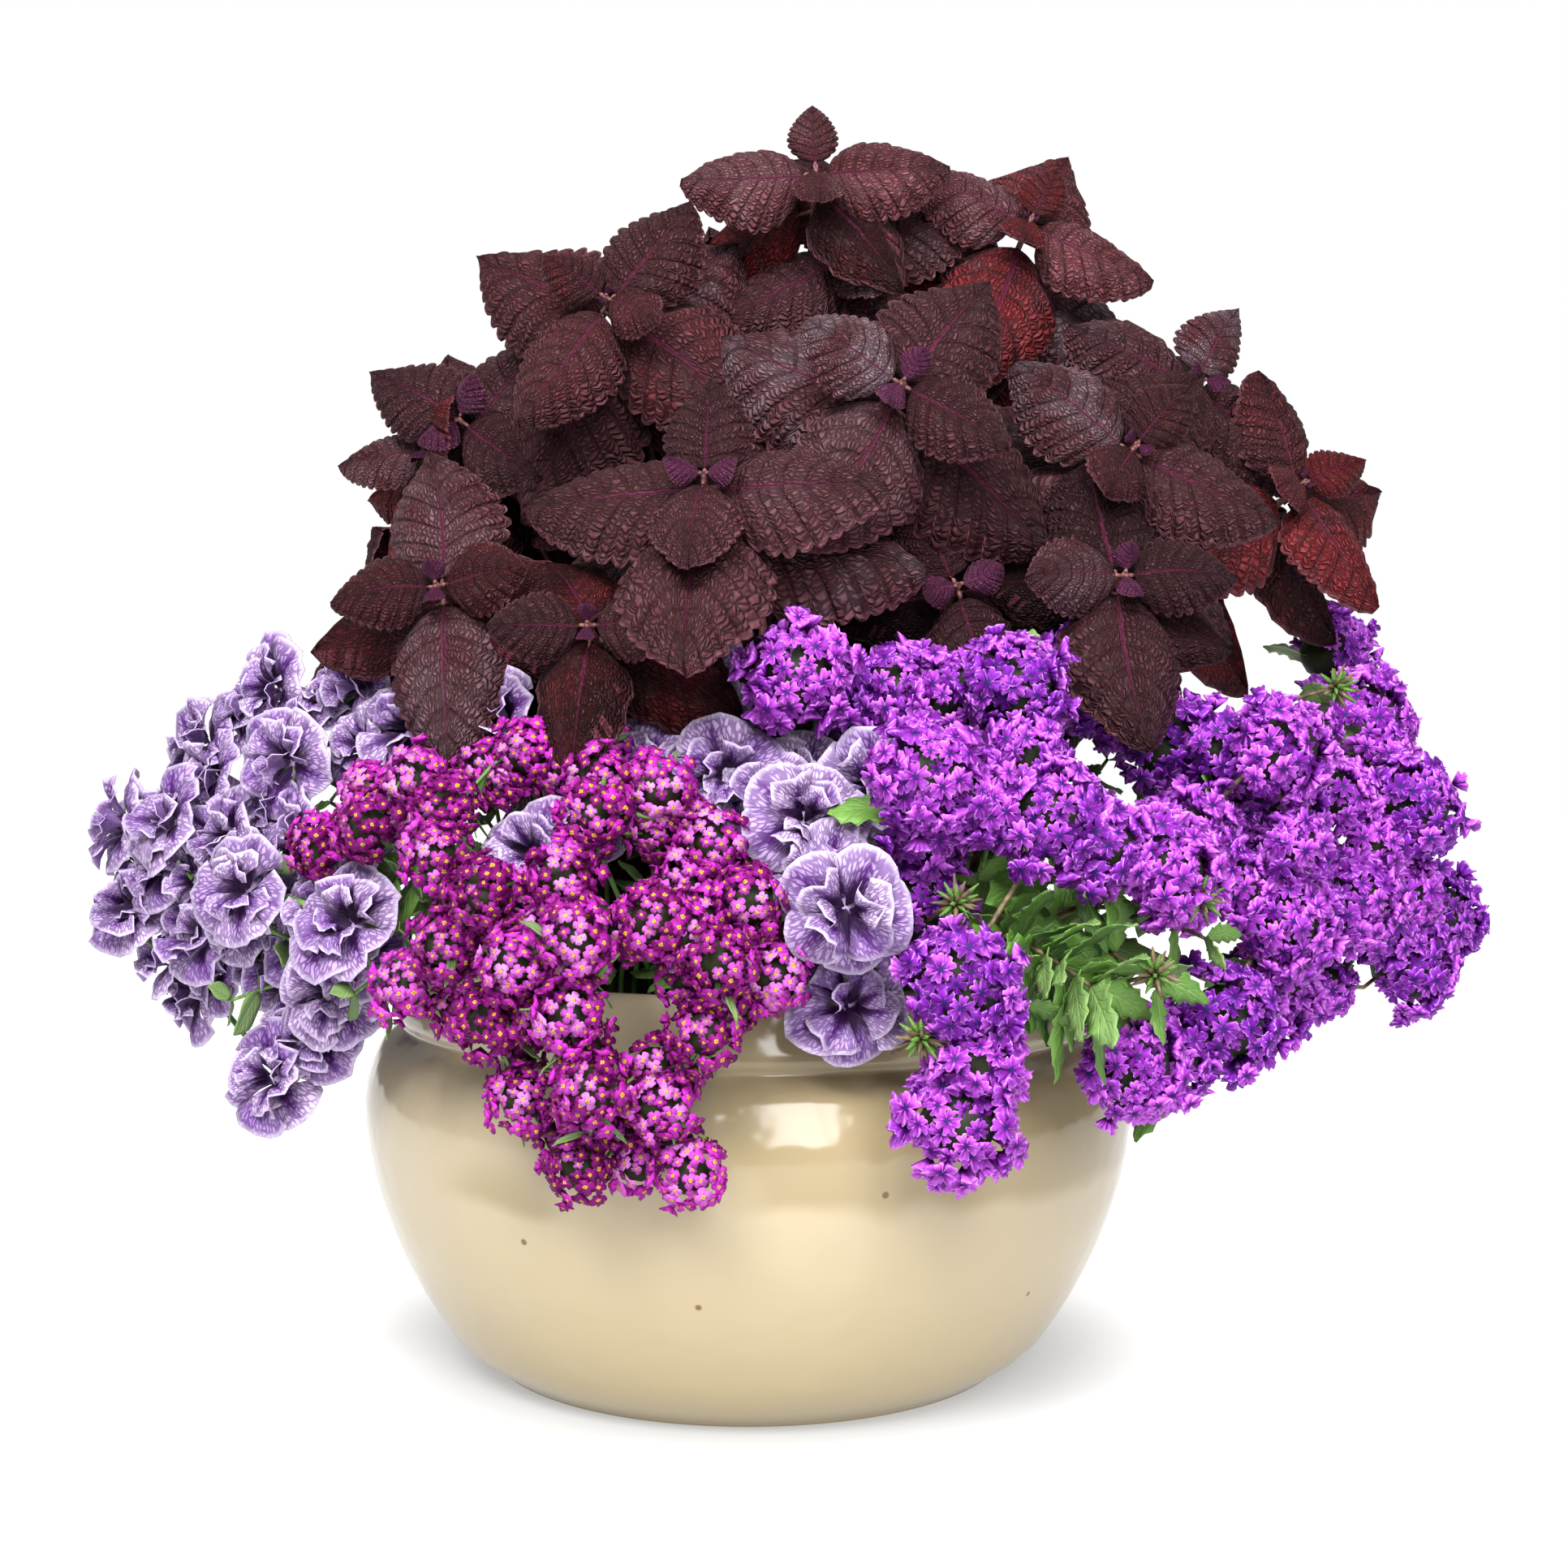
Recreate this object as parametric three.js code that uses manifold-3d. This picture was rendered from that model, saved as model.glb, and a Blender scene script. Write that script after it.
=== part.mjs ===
// A glazed bowl planted for a balcony: dark coleus shoots stand in the middle, and verbena,
// double petunias and sweet alyssum spill over the rim.
// Millimetres, +Z up. The origin is the middle of the bowl's foot, and the front is at -Y.
import * as THREE from "three";
import { mergeVertices } from "three/addons/utils/BufferGeometryUtils.js";
import Module from "manifold-3d";

const wasm = await Module();
wasm.setup();

const DEG = Math.PI / 180;
const UP = new THREE.Vector3(0, 0, 1);

// ---------------------------------------------------------------- driving dimensions

const TOUCH_GAP = 0.3; // left between pieces that touch
const ROUND_SIDES = 28; // of the bowl and of the soil in it

// The bowl's wall, as radius and height: up the outside, over the rim and down the inside.
const FOOT_RADIUS = 132;
const BELLY_RADIUS = 195;
const RIM_HEIGHT = 206;
const BOWL_OUTSIDE = [
  [0, 0], [FOOT_RADIUS - 5, 0], [FOOT_RADIUS + 3, 4], [153, 18], [175, 55], [190, 97],
  [BELLY_RADIUS, 135], [188, 160], [176, 171], [178, 177], [172, 200], [168, RIM_HEIGHT],
];
const BOWL_INSIDE = [
  [161, RIM_HEIGHT], [160, 190], [181, 138], [166, 62], [140, 26], [0, 14],
];

const SOIL_TOP = [[159, 191], [0, 199]];
const STEM_DEPTH = 15; // how far each stem stands in the soil
const HOLE_GAP = 2.6; // beside a stem, in the hole that it stands in
const HOLE_HEIGHT = 60; // from the foot of a stem to well above the soil

// Coleus: the tip of each shoot, the way that it faces, the turn of its leaf pairs in
// degrees, how far its tip has grown, and how many pairs of leaves it carries.
const COLEUS = [
  { tip: [34, 0, 604], faces: [0, -0.85, 0.45], turn: 3, age: 0.5, pairs: 2 },
  { tip: [70, -130, 481], faces: [0.1, -0.9, 0.3], turn: 55, age: 1.1, pairs: 4 },
  { tip: [-70, -40, 533], faces: [-0.15, -0.9, 0.35], turn: -33, age: 1.6, pairs: 3 },
  { tip: [186, -70, 458], faces: [0.25, -0.85, 0.35], turn: -43, age: 0.75, pairs: 4 },
  { tip: [-20, -150, 438], faces: [-0.1, -0.75, 0.6], turn: 0, age: 1.1, pairs: 4 },
  { tip: [-145, -110, 390], faces: [-0.2, -0.85, 0.3], turn: -80, age: 0.9, pairs: 2 },
  { tip: [-170, 40, 466], faces: [-0.4, -0.6, 0.4], turn: 105, age: 0.9, pairs: 3 },
  { tip: [291, 30, 448], faces: [0.4, -0.7, 0.45], turn: 105, age: 0.6, pairs: 3 },
  { tip: [147, 30, 584], faces: [0.2, -0.75, 0.5], turn: -30, age: 0.5, pairs: 4 },
  { tip: [-72, -150, 371], faces: [-0.1, -0.9, 0.25], turn: 90, age: 0.8, pairs: 1 },
  { tip: [50, 20, 568], faces: [-0.1, -0.8, 0.5], turn: -60, age: 1.8, pairs: 2 },
  { tip: [235, 20, 500], faces: [0.35, -0.8, 0.4], turn: 60, age: 1.9, pairs: 1 },
  { tip: [-150, 20, 480], faces: [-0.3, -0.85, 0.4], turn: 150, age: 2.3, pairs: 1 },
  { tip: [175, -110, 395], faces: [0.2, -0.9, 0.3], turn: 0, age: 2, pairs: 1 },
  { tip: [98, -105, 390], faces: [0.1, -0.9, 0.3], turn: 20, age: 1.2, pairs: 1 },
  { tip: [-110, 110, 500], faces: [-0.5, 0.45, 0.7], turn: 30, age: 1.6, pairs: 3 },
  { tip: [10, 130, 560], faces: [0, 0.55, 0.8], turn: 70, age: 1.6, pairs: 3 },
  { tip: [140, 130, 520], faces: [0.4, 0.6, 0.65], turn: 15, age: 1.6, pairs: 3 },
  { tip: [-60, 200, 410], faces: [-0.3, 0.85, 0.4], turn: 50, age: 1.4, pairs: 2 },
  { tip: [80, 210, 420], faces: [0.2, 0.9, 0.4], turn: 0, age: 1.4, pairs: 3 },
  { tip: [215, 165, 390], faces: [0.65, 0.65, 0.35], turn: 60, age: 1.4, pairs: 2 },
  { tip: [-200, 125, 385], faces: [-0.75, 0.5, 0.35], turn: 45, age: 1.4, pairs: 2 },
];
const COLEUS_STEM = 3.2; // half the diagonal of its square section
const COLEUS_STEPS = 6;
const COLEUS_ROOTS = { shrink: 0.35, from: [20, 30], to: [10, 10] };
const FULL_LEAF = 98; // length of a grown coleus leaf with its stalk
const LEAF_THICKNESS = 1;
const LEAF_FREE = 1.8; // thickness of the space that a leaf keeps to itself

// Trailing plants: each spray's flower heads from its root outwards, as [x, y, z].
const PETUNIA = { radius: 25.5, stem: 2, root: 122 };
const PETUNIA_SPRAYS = [
  [[-40, -110, 338], [-44, -150, 311], [-87, -185, 278]],
  [[64, -165, 297], [24, -185, 288], [-21, -165, 303], [32, -215, 253], [55, -205, 214]],
  [[-122, -110, 327], [-164, -90, 324], [-194, -60, 335], [-244, -10, 340], [-291, 40, 314]],
  [[-225, -70, 306], [-255, -60, 273], [-289, -30, 275], [-331, 30, 262]],
  [[-180, -150, 245], [-237, -100, 241], [-272, -50, 221], [-322, 10, 235]],
  [[-196, -120, 207], [-222, -90, 203], [-227, -90, 168], [-291, 10, 182]],
  [[-205, 100, 270], [-240, 90, 225], [-180, 170, 235]],
  [[-70, 165, 262], [-125, 170, 250]],
];

const VERBENA = { radius: 29, stem: 1.7, root: 133 };
const VERBENA_SPRAYS = [
  [[70, -130, 329], [21, -150, 340]],
  [[120, -130, 340], [168, -90, 335], [193, -100, 316]],
  [[128, -190, 286], [90, -190, 295], [70, -170, 255], [75, -215, 211], [89, -220, 167]],
  [[211, -110, 303], [169, -170, 274], [214, -130, 282]],
  [[255, -90, 289], [304, -60, 275], [310, -30, 314]],
  [[291, -70, 245], [320, -50, 209], [352, 0, 223]],
  [[262, -80, 213], [238, -120, 237], [214, -150, 193], [170, -180, 178]],
  [[280, 60, 250], [320, 60, 290], [320, 90, 360]],
  [[130, 225, 240], [195, 180, 255], [240, 140, 225]],
  [[70, 165, 265], [0, 180, 262]],
];

// A verbena shoot with leaves and no flowers, through the points that carry its leaf pairs.
const LEAFY_SHOOT = [[112, -178, 234], [128, -196, 228], [146, -208, 216]];
const LEAFY = { stem: 1.8, root: 118, length: 44, pitch: 62, fold: 0.2, droop: 0.25, seat: 0.2 };

const ALYSSUM = { radius: 16, stem: 1.4, root: 145 };
const ALYSSUM_SPRAYS = [
  [[-64, -165, 303], [-69, -140, 329], [-36, -190, 290]],
  [[-99, -150, 313], [-133, -165, 288], [-127, -190, 272]],
  [[-155, -140, 297], [-176, -120, 291], [-195, -120, 272], [-171, -150, 273]],
  [[-63, -195, 283], [-18, -200, 276], [-1, -215, 254], [13, -215, 226]],
  [[-75, -220, 263], [-106, -215, 254], [-131, -195, 231], [-149, -180, 213]],
  [[-95, -225, 231], [-67, -235, 239], [-110, -210, 201], [-97, -205, 167]],
  [[-41, -235, 242], [-74, -235, 214], [-62, -235, 182], [-71, -215, 140]],
  [[-14, -230, 235], [-17, -230, 204], [-42, -225, 170], [-25, -220, 139]],
  [[-30, 225, 215], [5, 225, 240], [50, 220, 215]],
  [[-80, 210, 230], [-110, 215, 195]],
];

// ---------------------------------------------------------------- solids

const vector = ([x, y, z]) => new THREE.Vector3(x, y, z);

// A closed geometry as a solid for joining and cutting.
function solidOf(geometry) {
  const bare = geometry.clone();
  bare.deleteAttribute("normal");
  bare.deleteAttribute("uv");
  const merged = mergeVertices(bare, 1e-3);
  return new wasm.Manifold(new wasm.Mesh({
    numProp: 3,
    vertProperties: merged.attributes.position.array,
    triVerts: new Uint32Array(merged.index.array),
  }));
}

function geometryOf(solid) {
  const { vertProperties, triVerts } = solid.getMesh();
  const geometry = new THREE.BufferGeometry();
  geometry.setAttribute("position", new THREE.BufferAttribute(vertProperties, 3));
  geometry.setIndex(new THREE.BufferAttribute(triVerts, 1));
  geometry.computeVertexNormals();
  return geometry;
}

// A curve that is stepped by its own parameter.
function stepped(curve) {
  curve.getUtoTmapping = (share) => share;
  return curve;
}

const joined = (solids) => solids.reduce((whole, piece) => whole.add(piece));
const solidOfTriangles = (corners) => solidOf(new THREE.BufferGeometry().setFromPoints(corners));

// A round body from its profile, turned so that it stands on +Z.
function turned(profile) {
  const points = profile.map(([radius, height]) => new THREE.Vector2(radius, height));
  return solidOf(new THREE.LatheGeometry(points, ROUND_SIDES).rotateX(Math.PI / 2));
}

// A stem: a section with few sides drawn along a path. Its steps fall on the path's own
// points, and not at equal lengths.
function stemSolid(path, radius, sides, steps) {
  const corners = Array.from({ length: sides }, (_, i) => (
    new THREE.Vector2(radius, 0).rotateAround(new THREE.Vector2(), (i / sides) * 2 * Math.PI)));
  return solidOf(new THREE.ExtrudeGeometry(new THREE.Shape(corners), {
    steps, extrudePath: path, bevelEnabled: false,
  }));
}

// ---------------------------------------------------------------- bowl and soil

const bowl = turned([...BOWL_OUTSIDE, ...BOWL_INSIDE]);

const [[SOIL_RADIUS, SOIL_EDGE], [, SOIL_MIDDLE]] = SOIL_TOP;
const soilHeight = (radius) => (
  THREE.MathUtils.mapLinear(radius, 0, SOIL_RADIUS, SOIL_MIDDLE, SOIL_EDGE));

// The soil fills the bowl, with a plain hole for each stem.
function soil(stands) {
  const wall = BOWL_INSIDE.slice(1, -1)
    .map(([radius, height]) => [radius - TOUCH_GAP, height + TOUCH_GAP]);
  const floor = BOWL_INSIDE.at(-1)[1] + TOUCH_GAP;
  const body = turned([[0, floor], ...wall.reverse(), ...SOIL_TOP]);
  return stands.reduce((rest, { x, y, radius }) => {
    const width = 2 * (radius + HOLE_GAP);
    const hole = new THREE.BoxGeometry(width, width, HOLE_HEIGHT);
    hole.translate(x, y, rootHeight(x, y) - TOUCH_GAP + HOLE_HEIGHT / 2);
    return rest.subtract(solidOf(hole));
  }, body);
}

const rootHeight = (x, y) => soilHeight(Math.hypot(x, y)) - STEM_DEPTH;

// ---------------------------------------------------------------- leaves

// Half outlines of leaves, as shares of the length along and across, from stalk to tip.
const LEAF_EDGES = {
  young: [[0.24, 0.36], [0.62, 0.31]],
  small: [[0.2, 0.36], [0.4, 0.34], [0.62, 0.34]],
  grown: [[0.13, 0.27], [0.27, 0.35], [0.42, 0.39], [0.55, 0.33], [0.72, 0.28]],
  cut: [[0.25, 0.2], [0.38, 0.1], [0.55, 0.24], [0.7, 0.1]],
};
const MIDRIB = 0.45;

// A blade that starts at root and grows along "along", with its upper side to "face".
// It is folded a little along its midrib and droops towards its tip.
function leafSolid({ root, along, face, length, edge, fold, droop }, thickness) {
  const side = face.clone().cross(along);
  const half = LEAF_EDGES[edge];
  const outline = [[0, 0], ...half.map(([t, h]) => [t, -h]), [1, 0], ...half.toReversed()];
  const at = ([t, h], lift) => root.clone()
    .addScaledVector(along, t * length)
    .addScaledVector(side, h * length)
    .addScaledVector(face, lift - fold * Math.abs(h) * length)
    .addScaledVector(UP, -droop * t * t * length);
  const corners = [];
  outline.forEach((a, i) => {
    const b = outline[(i + 1) % outline.length];
    const rib = [MIDRIB, 0];
    const [top, under] = [thickness / 2, -thickness / 2];
    corners.push(at(rib, top), at(a, top), at(b, top));
    corners.push(at(rib, under), at(b, under), at(a, under));
    corners.push(at(a, under), at(b, under), at(b, top));
    corners.push(at(a, under), at(b, top), at(a, top));
  });
  return solidOfTriangles(corners);
}

// ---------------------------------------------------------------- flower heads

// Two directions square to "faces": to its right and upwards.
function across(faces) {
  const right = UP.clone().cross(faces).normalize();
  return [right, faces.clone().cross(right)];
}

// Verbena and alyssum heads are domes of florets, one on top and a ring of them round it.
// Each floret is a low eye with petals that rise halfway to its neighbours, and the gap
// between three florets is sunk. Numbers are shares of the head's radius, and degrees.
const FLORET = { eye: 0.9, petal: 1, gap: 0.74, ring: 62, skirt: 108, flat: 0.9 };

function floretDome(centre, faces, radius, around) {
  const [right, up] = across(faces);
  const spot = (polar, turn, share) => new THREE.Vector3()
    .setFromSphericalCoords(share, polar * DEG, turn * DEG);
  const midway = (a, b) => a.clone().add(b).setLength(FLORET.petal);
  const top = spot(0, 0, FLORET.eye);
  const under = spot(180, 0, FLORET.gap);
  const corners = [];
  for (let i = 0; i < around; i += 1) {
    const [turn, next] = [(360 / around) * i, (360 / around) * (i + 1)];
    const [here, there] = [spot(FLORET.ring, turn, FLORET.eye), spot(FLORET.ring, next, FLORET.eye)];
    const [low, lowNext] = [spot(FLORET.skirt, turn, FLORET.petal), spot(FLORET.skirt, next, FLORET.petal)];
    const gap = top.clone().add(here).add(there).setLength(FLORET.gap);
    for (const [a, b] of [[top, here], [here, there], [there, top]]) {
      corners.push(a, midway(a, b), gap, midway(a, b), b, gap);
    }
    const side = midway(here, there);
    corners.push(here, low, side, side, low, lowNext, side, lowNext, there, low, under, lowNext);
  }
  return solidOfTriangles(corners.map(({ x, y, z }) => centre.clone()
    .addScaledVector(up, x * radius)
    .addScaledVector(right, z * radius)
    .addScaledVector(faces, y * radius * FLORET.flat)));
}

// A double petunia: a trumpet with five broad lobes, and a ruffled crown of inner petals.
const TRUMPET = 0.7; // depth of its tube, as a share of its radius
const PETUNIA_RINGS = [ // radius and height at the middle of a petal and between two
  { petal: [1, 0.1], between: [0.84, -0.12] },
  { petal: [0.6, -0.08], between: [0.56, 0.06] },
  { petal: [0.42, 0.34], between: [0.48, 0.16] },
];
const THROAT = 0.1;
const PETUNIA_TURN = 1.3; // from each bloom of a spray to the next, in radians

function petuniaBloom(centre, faces, radius, turn) {
  const [right, up] = across(faces);
  const at = (share, angle, height) => centre.clone()
    .addScaledVector(right, share * radius * Math.cos(angle))
    .addScaledVector(up, share * radius * Math.sin(angle))
    .addScaledVector(faces, height * radius);
  const on = (ring, i) => {
    const [share, height] = i % 2 ? ring.between : ring.petal;
    return at(share, turn + (i * Math.PI) / 5, height);
  };
  const corners = [];
  const [rim, , crown] = PETUNIA_RINGS;
  for (let i = 0; i < 10; i += 1) {
    corners.push(at(0, 0, -TRUMPET), on(rim, i + 1), on(rim, i));
    PETUNIA_RINGS.slice(1).forEach((inner, k) => {
      const outer = PETUNIA_RINGS[k];
      corners.push(on(outer, i), on(outer, i + 1), on(inner, i + 1));
      corners.push(on(outer, i), on(inner, i + 1), on(inner, i));
    });
    corners.push(on(crown, i), on(crown, i + 1), at(0, 0, THROAT));
  }
  return solidOfTriangles(corners);
}

// ---------------------------------------------------------------- coleus stems

const coleus = COLEUS.map((shoot) => {
  const tip = vector(shoot.tip);
  const axis = vector(shoot.faces).normalize();
  const { shrink, from, to } = COLEUS_ROOTS;
  const x = (tip.x - from[0]) * shrink + to[0];
  const y = (tip.y - from[1]) * shrink + to[1];
  const root = new THREE.Vector3(x, y, rootHeight(x, y));
  const reach = root.distanceTo(tip);
  const path = stepped(new THREE.CubicBezierCurve3(
    root,
    root.clone().addScaledVector(UP, reach * 0.45),
    tip.clone().addScaledVector(axis, -reach * 0.35),
    tip,
  ));
  const points = path.getPoints(COLEUS_STEPS);
  const stem = stemSolid(path, COLEUS_STEM, 4, COLEUS_STEPS);
  return { ...shoot, tip, axis, root, points, stem };
});

// The point on a stem at a distance from its tip.
function backFromTip(points, distance) {
  let left = distance;
  for (let i = points.length - 1; i > 0; i -= 1) {
    const length = points[i].distanceTo(points[i - 1]);
    if (left <= length) return points[i].clone().lerp(points[i - 1], left / length);
    left -= length;
  }
  return points[0].clone();
}

// ---------------------------------------------------------------- where the heads sit

const HEAD_GAP = 0.8; // between neighbouring heads
const OBSTACLE_STEP = 12;
const SETTLING = 400;

const sprays = [
  ...PETUNIA_SPRAYS.map((heads) => ({ kind: "petunia", ...PETUNIA, heads })),
  ...VERBENA_SPRAYS.map((heads) => ({ kind: "verbena", ...VERBENA, heads })),
  ...ALYSSUM_SPRAYS.map((heads) => ({ kind: "alyssum", ...ALYSSUM, heads })),
].map((spray) => ({
  ...spray,
  heads: spray.heads.map((at) => ({ centre: vector(at), radius: spray.radius })),
}));
const heads = sprays.flatMap((spray) => spray.heads);

// Points every few millimetres along a chain of points.
function dotted(points, step) {
  const dots = [points[0].clone()];
  for (let i = 1; i < points.length; i += 1) {
    const count = Math.ceil(points[i].distanceTo(points[i - 1]) / step);
    for (let k = 1; k <= count; k += 1) dots.push(points[i - 1].clone().lerp(points[i], k / count));
  }
  return dots;
}

const coleusDots = coleus.flatMap(({ points }) => dotted(points, OBSTACLE_STEP));
const LEAFY_DOTS = dotted(LEAFY_SHOOT.map(vector), OBSTACLE_STEP);
const LEAFY_SPACE = 8; // round the leafy shoot

// The bowl's wall above its foot and over its rim, as dots in the plane of X and Z.
const wallDots = (step) => dotted(
  [...BOWL_OUTSIDE.slice(2), ...BOWL_INSIDE.slice(0, 2)]
    .map(([radius, height]) => new THREE.Vector3(radius, 0, height)),
  step,
);
const WALL_DOTS = wallDots(OBSTACLE_STEP);
const HEAD_ROOM = { stem: 2, wall: 1.5 }; // round a coleus stem, and off the bowl

// Moves a head out of a sphere round a fixed dot.
function pushOut(centre, dot, distance) {
  const away = centre.clone().sub(dot);
  const depth = distance - away.length();
  if (depth > 0) centre.add(away.setLength(depth));
}

// Heads that crowd each other, a stem, the bowl or the soil move apart until all are clear.
function settle() {
  for (let round = 0; round < SETTLING; round += 1) {
    heads.forEach((a, i) => {
      for (const b of heads.slice(i + 1)) {
        const apart = b.centre.clone().sub(a.centre);
        const depth = a.radius + b.radius + HEAD_GAP - apart.length();
        if (depth > 0) {
          apart.setLength(depth / 2);
          a.centre.sub(apart);
          b.centre.add(apart);
        }
      }
      const { centre, radius } = a;
      for (const dot of coleusDots) pushOut(centre, dot, radius + COLEUS_STEM + HEAD_ROOM.stem);
      for (const dot of LEAFY_DOTS) pushOut(centre, dot, radius + LEAFY_SPACE);
      const distance = Math.hypot(centre.x, centre.y);
      for (const { x, z } of WALL_DOTS) {
        const wall = new THREE.Vector3((centre.x * x) / distance, (centre.y * x) / distance, z);
        pushOut(centre, wall, radius + HEAD_ROOM.wall);
      }
    });
  }
}
settle();

// Heads look outwards and a little up, and those at the front turn towards it.
const LOOKS = { up: 0.35, front: 0.6, frontEnds: 60 };
for (const head of heads) {
  const { x, y } = head.centre;
  const distance = Math.hypot(x, y);
  const forwards = y < LOOKS.frontEnds ? LOOKS.front : 0;
  head.faces = new THREE.Vector3(x / distance, y / distance - forwards, LOOKS.up).normalize();
}

// ---------------------------------------------------------------- sprays

const ROUTE_STEP = 4;
const TURNS = [0, 5, -5, 10, -10, 15, -15, 20, -20, 26, -26, 32, -32];
const INWARDS = [1, 0.93, 0.86, 0.79];
const RISE = 22; // how far a stem stands up before it leans out
const CREST = { radius: 170, height: 226, below: 266 }; // where a spray that starts low crosses the rim
const BEHIND = 0.3; // from a head's middle back to its stem, as a share of its radius
const STEM_SPACE = { coleus: 0.6, trailing: 1, wall: 0.5 }; // between a stem and its neighbours

// The path of a trailing stem: up from its root, over the rim and on through its stops.
function trailingPath({ stem, root: reach }, first, stops, turn, inwards) {
  const angle = Math.atan2(first.y, first.x) + turn * DEG;
  const root = new THREE.Vector3(Math.cos(angle), Math.sin(angle), 0).multiplyScalar(reach * inwards);
  root.z = rootHeight(root.x, root.y);
  const way = [root, root.clone().addScaledVector(UP, STEM_DEPTH + RISE)];
  if (first.z < CREST.below) {
    way.push(first.clone().setZ(0).setLength(CREST.radius).setZ(CREST.height));
  }
  way.push(...stops);
  return {
    path: stepped(new THREE.CatmullRomCurve3(way)),
    steps: way.length - 1,
    stops: way,
    dots: dotted(way, ROUTE_STEP),
    root,
    radius: stem,
  };
}

// A spray's stem passes behind each of its heads.
function sprayPath(spray, turn, inwards) {
  const stops = spray.heads.map(({ centre, faces, radius }) => centre.clone()
    .addScaledVector(faces, -BEHIND * radius));
  return trailingPath(spray, spray.heads[0].centre, stops, turn, inwards);
}

// How much room a path leaves to the heads of other sprays, the coleus stems, the paths
// laid before it and the bowl.
const coleusFineDots = coleus.flatMap(({ points }) => dotted(points, ROUTE_STEP));
const wallFineDots = wallDots(ROUTE_STEP);
const laid = [];
function room(route, own) {
  let least = Infinity;
  const others = heads.filter((head) => !own.includes(head));
  for (const dot of route.dots) {
    for (const { centre, radius } of others) {
      least = Math.min(least, dot.distanceTo(centre) - radius);
    }
    for (const post of coleusFineDots) {
      least = Math.min(least, dot.distanceTo(post) - COLEUS_STEM - STEM_SPACE.coleus);
    }
    for (const { dots, radius } of laid) {
      for (const other of dots) {
        least = Math.min(least, dot.distanceTo(other) - radius - STEM_SPACE.trailing);
      }
    }
    const inWallPlane = new THREE.Vector3(Math.hypot(dot.x, dot.y), 0, dot.z);
    for (const wall of wallFineDots) {
      least = Math.min(least, wall.distanceTo(inWallPlane) - STEM_SPACE.wall);
    }
  }
  return least - route.radius;
}

// Each plant takes the first path that is clear, or else the roomiest one.
const ROOM = 0.5;
function clearest(own, pathFor) {
  let best = null;
  for (const inwards of INWARDS) {
    for (const turn of TURNS) {
      if (best && best.room > ROOM) break;
      const route = pathFor(turn, inwards);
      route.room = room(route, own);
      if (!best || route.room > best.room) best = route;
    }
  }
  laid.push(best);
  return best;
}

const leafyStops = LEAFY_SHOOT.map(vector);
const leafy = clearest([], (turn, inwards) => (
  trailingPath(LEAFY, leafyStops[0], leafyStops, turn, inwards)));
leafy.solid = stemSolid(leafy.path, leafy.radius, 3, leafy.steps);
leafy.leaves = [];
for (const spray of sprays) {
  spray.route = clearest(spray.heads, (turn, inwards) => sprayPath(spray, turn, inwards));
}

const makeHead = {
  petunia: ({ centre, faces, radius }, i) => petuniaBloom(centre, faces, radius, i * PETUNIA_TURN),
  verbena: ({ centre, faces, radius }) => floretDome(centre, faces, radius, 6),
  alyssum: ({ centre, faces, radius }) => floretDome(centre, faces, radius, 5),
};
for (const spray of sprays) {
  const { path, radius, steps } = spray.route;
  spray.solid = joined([
    stemSolid(path, radius, 3, steps),
    ...spray.heads.map(makeHead[spray.kind]),
  ]);
}

// ---------------------------------------------------------------- coleus leaves

const leafLength = (age) => FULL_LEAF * (1 - Math.exp(-((age / 2.3) ** 2)));
const leafSetback = (age) => 0.35 * age ** 2.9; // from the tip of the shoot down to its pair
const leafPitch = (age) => 120 * (1 - Math.exp(-age / 2.2)); // degrees away from the shoot's axis
const leafEdge = (pair, { tip }) => {
  if (pair === 1) return "young";
  return pair === 3 && tip.y < 100 ? "grown" : "small";
};
const COLEUS_FOLD = 0.2;
const COLEUS_DROOP = 0.1;
const COLEUS_SEAT = 0.8; // where a leaf starts, out from the middle of its stem

// How a leaf may bend to get clear of others: more or less pitch, a swing to one side, and
// a share of its full length.
const BENDS = [1, 0.85, 0.7].flatMap((share) => [
  [0, 0], [12, 0], [-12, 0], [0, 14], [0, -14], [24, 0], [-24, 0],
  [12, 14], [12, -14], [-12, 14], [-12, -14], [36, 0], [24, 20], [24, -20],
].map(([pitch, swing]) => ({ pitch, swing, share })));

// A leaf that leaves "axis" at an angle of "pitch", on the side given by "turn" round it.
function leafFrom(axis, root, { turn, pitch, seat, ...leaf }, bend) {
  const [right, up] = across(axis);
  const angle = turn * DEG;
  const lean = (pitch + bend.pitch) * DEG;
  const outwards = right.multiplyScalar(Math.cos(angle)).addScaledVector(up, Math.sin(angle));
  const along = axis.clone().multiplyScalar(Math.cos(lean))
    .addScaledVector(outwards, Math.sin(lean));
  const face = axis.clone().multiplyScalar(Math.sin(lean))
    .addScaledVector(outwards, -Math.cos(lean));
  along.applyAxisAngle(face, bend.swing * DEG);
  return {
    ...leaf, along, face,
    root: root.clone().addScaledVector(outwards, seat),
    length: leaf.length * bend.share,
  };
}

// What stands already: a solid is tested against the others whose boxes it meets.
const standing = [];
function stand(owner, solid) {
  standing.push({ owner, solid, box: solid.boundingBox() });
}
function isClear(owners, solid) {
  const { min, max } = solid.boundingBox();
  return standing.every((other) => owners.includes(other.owner)
    || min.some((low, k) => low > other.box.max[k] || max[k] < other.box.min[k])
    || solid.intersect(other.solid).volume() === 0);
}

stand("bowl", bowl);
stand(leafy, leafy.solid);
sprays.forEach((spray) => stand(spray, spray.solid));
for (const shoot of coleus) {
  shoot.leaves = [];
  stand(shoot, shoot.stem);
}

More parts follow.
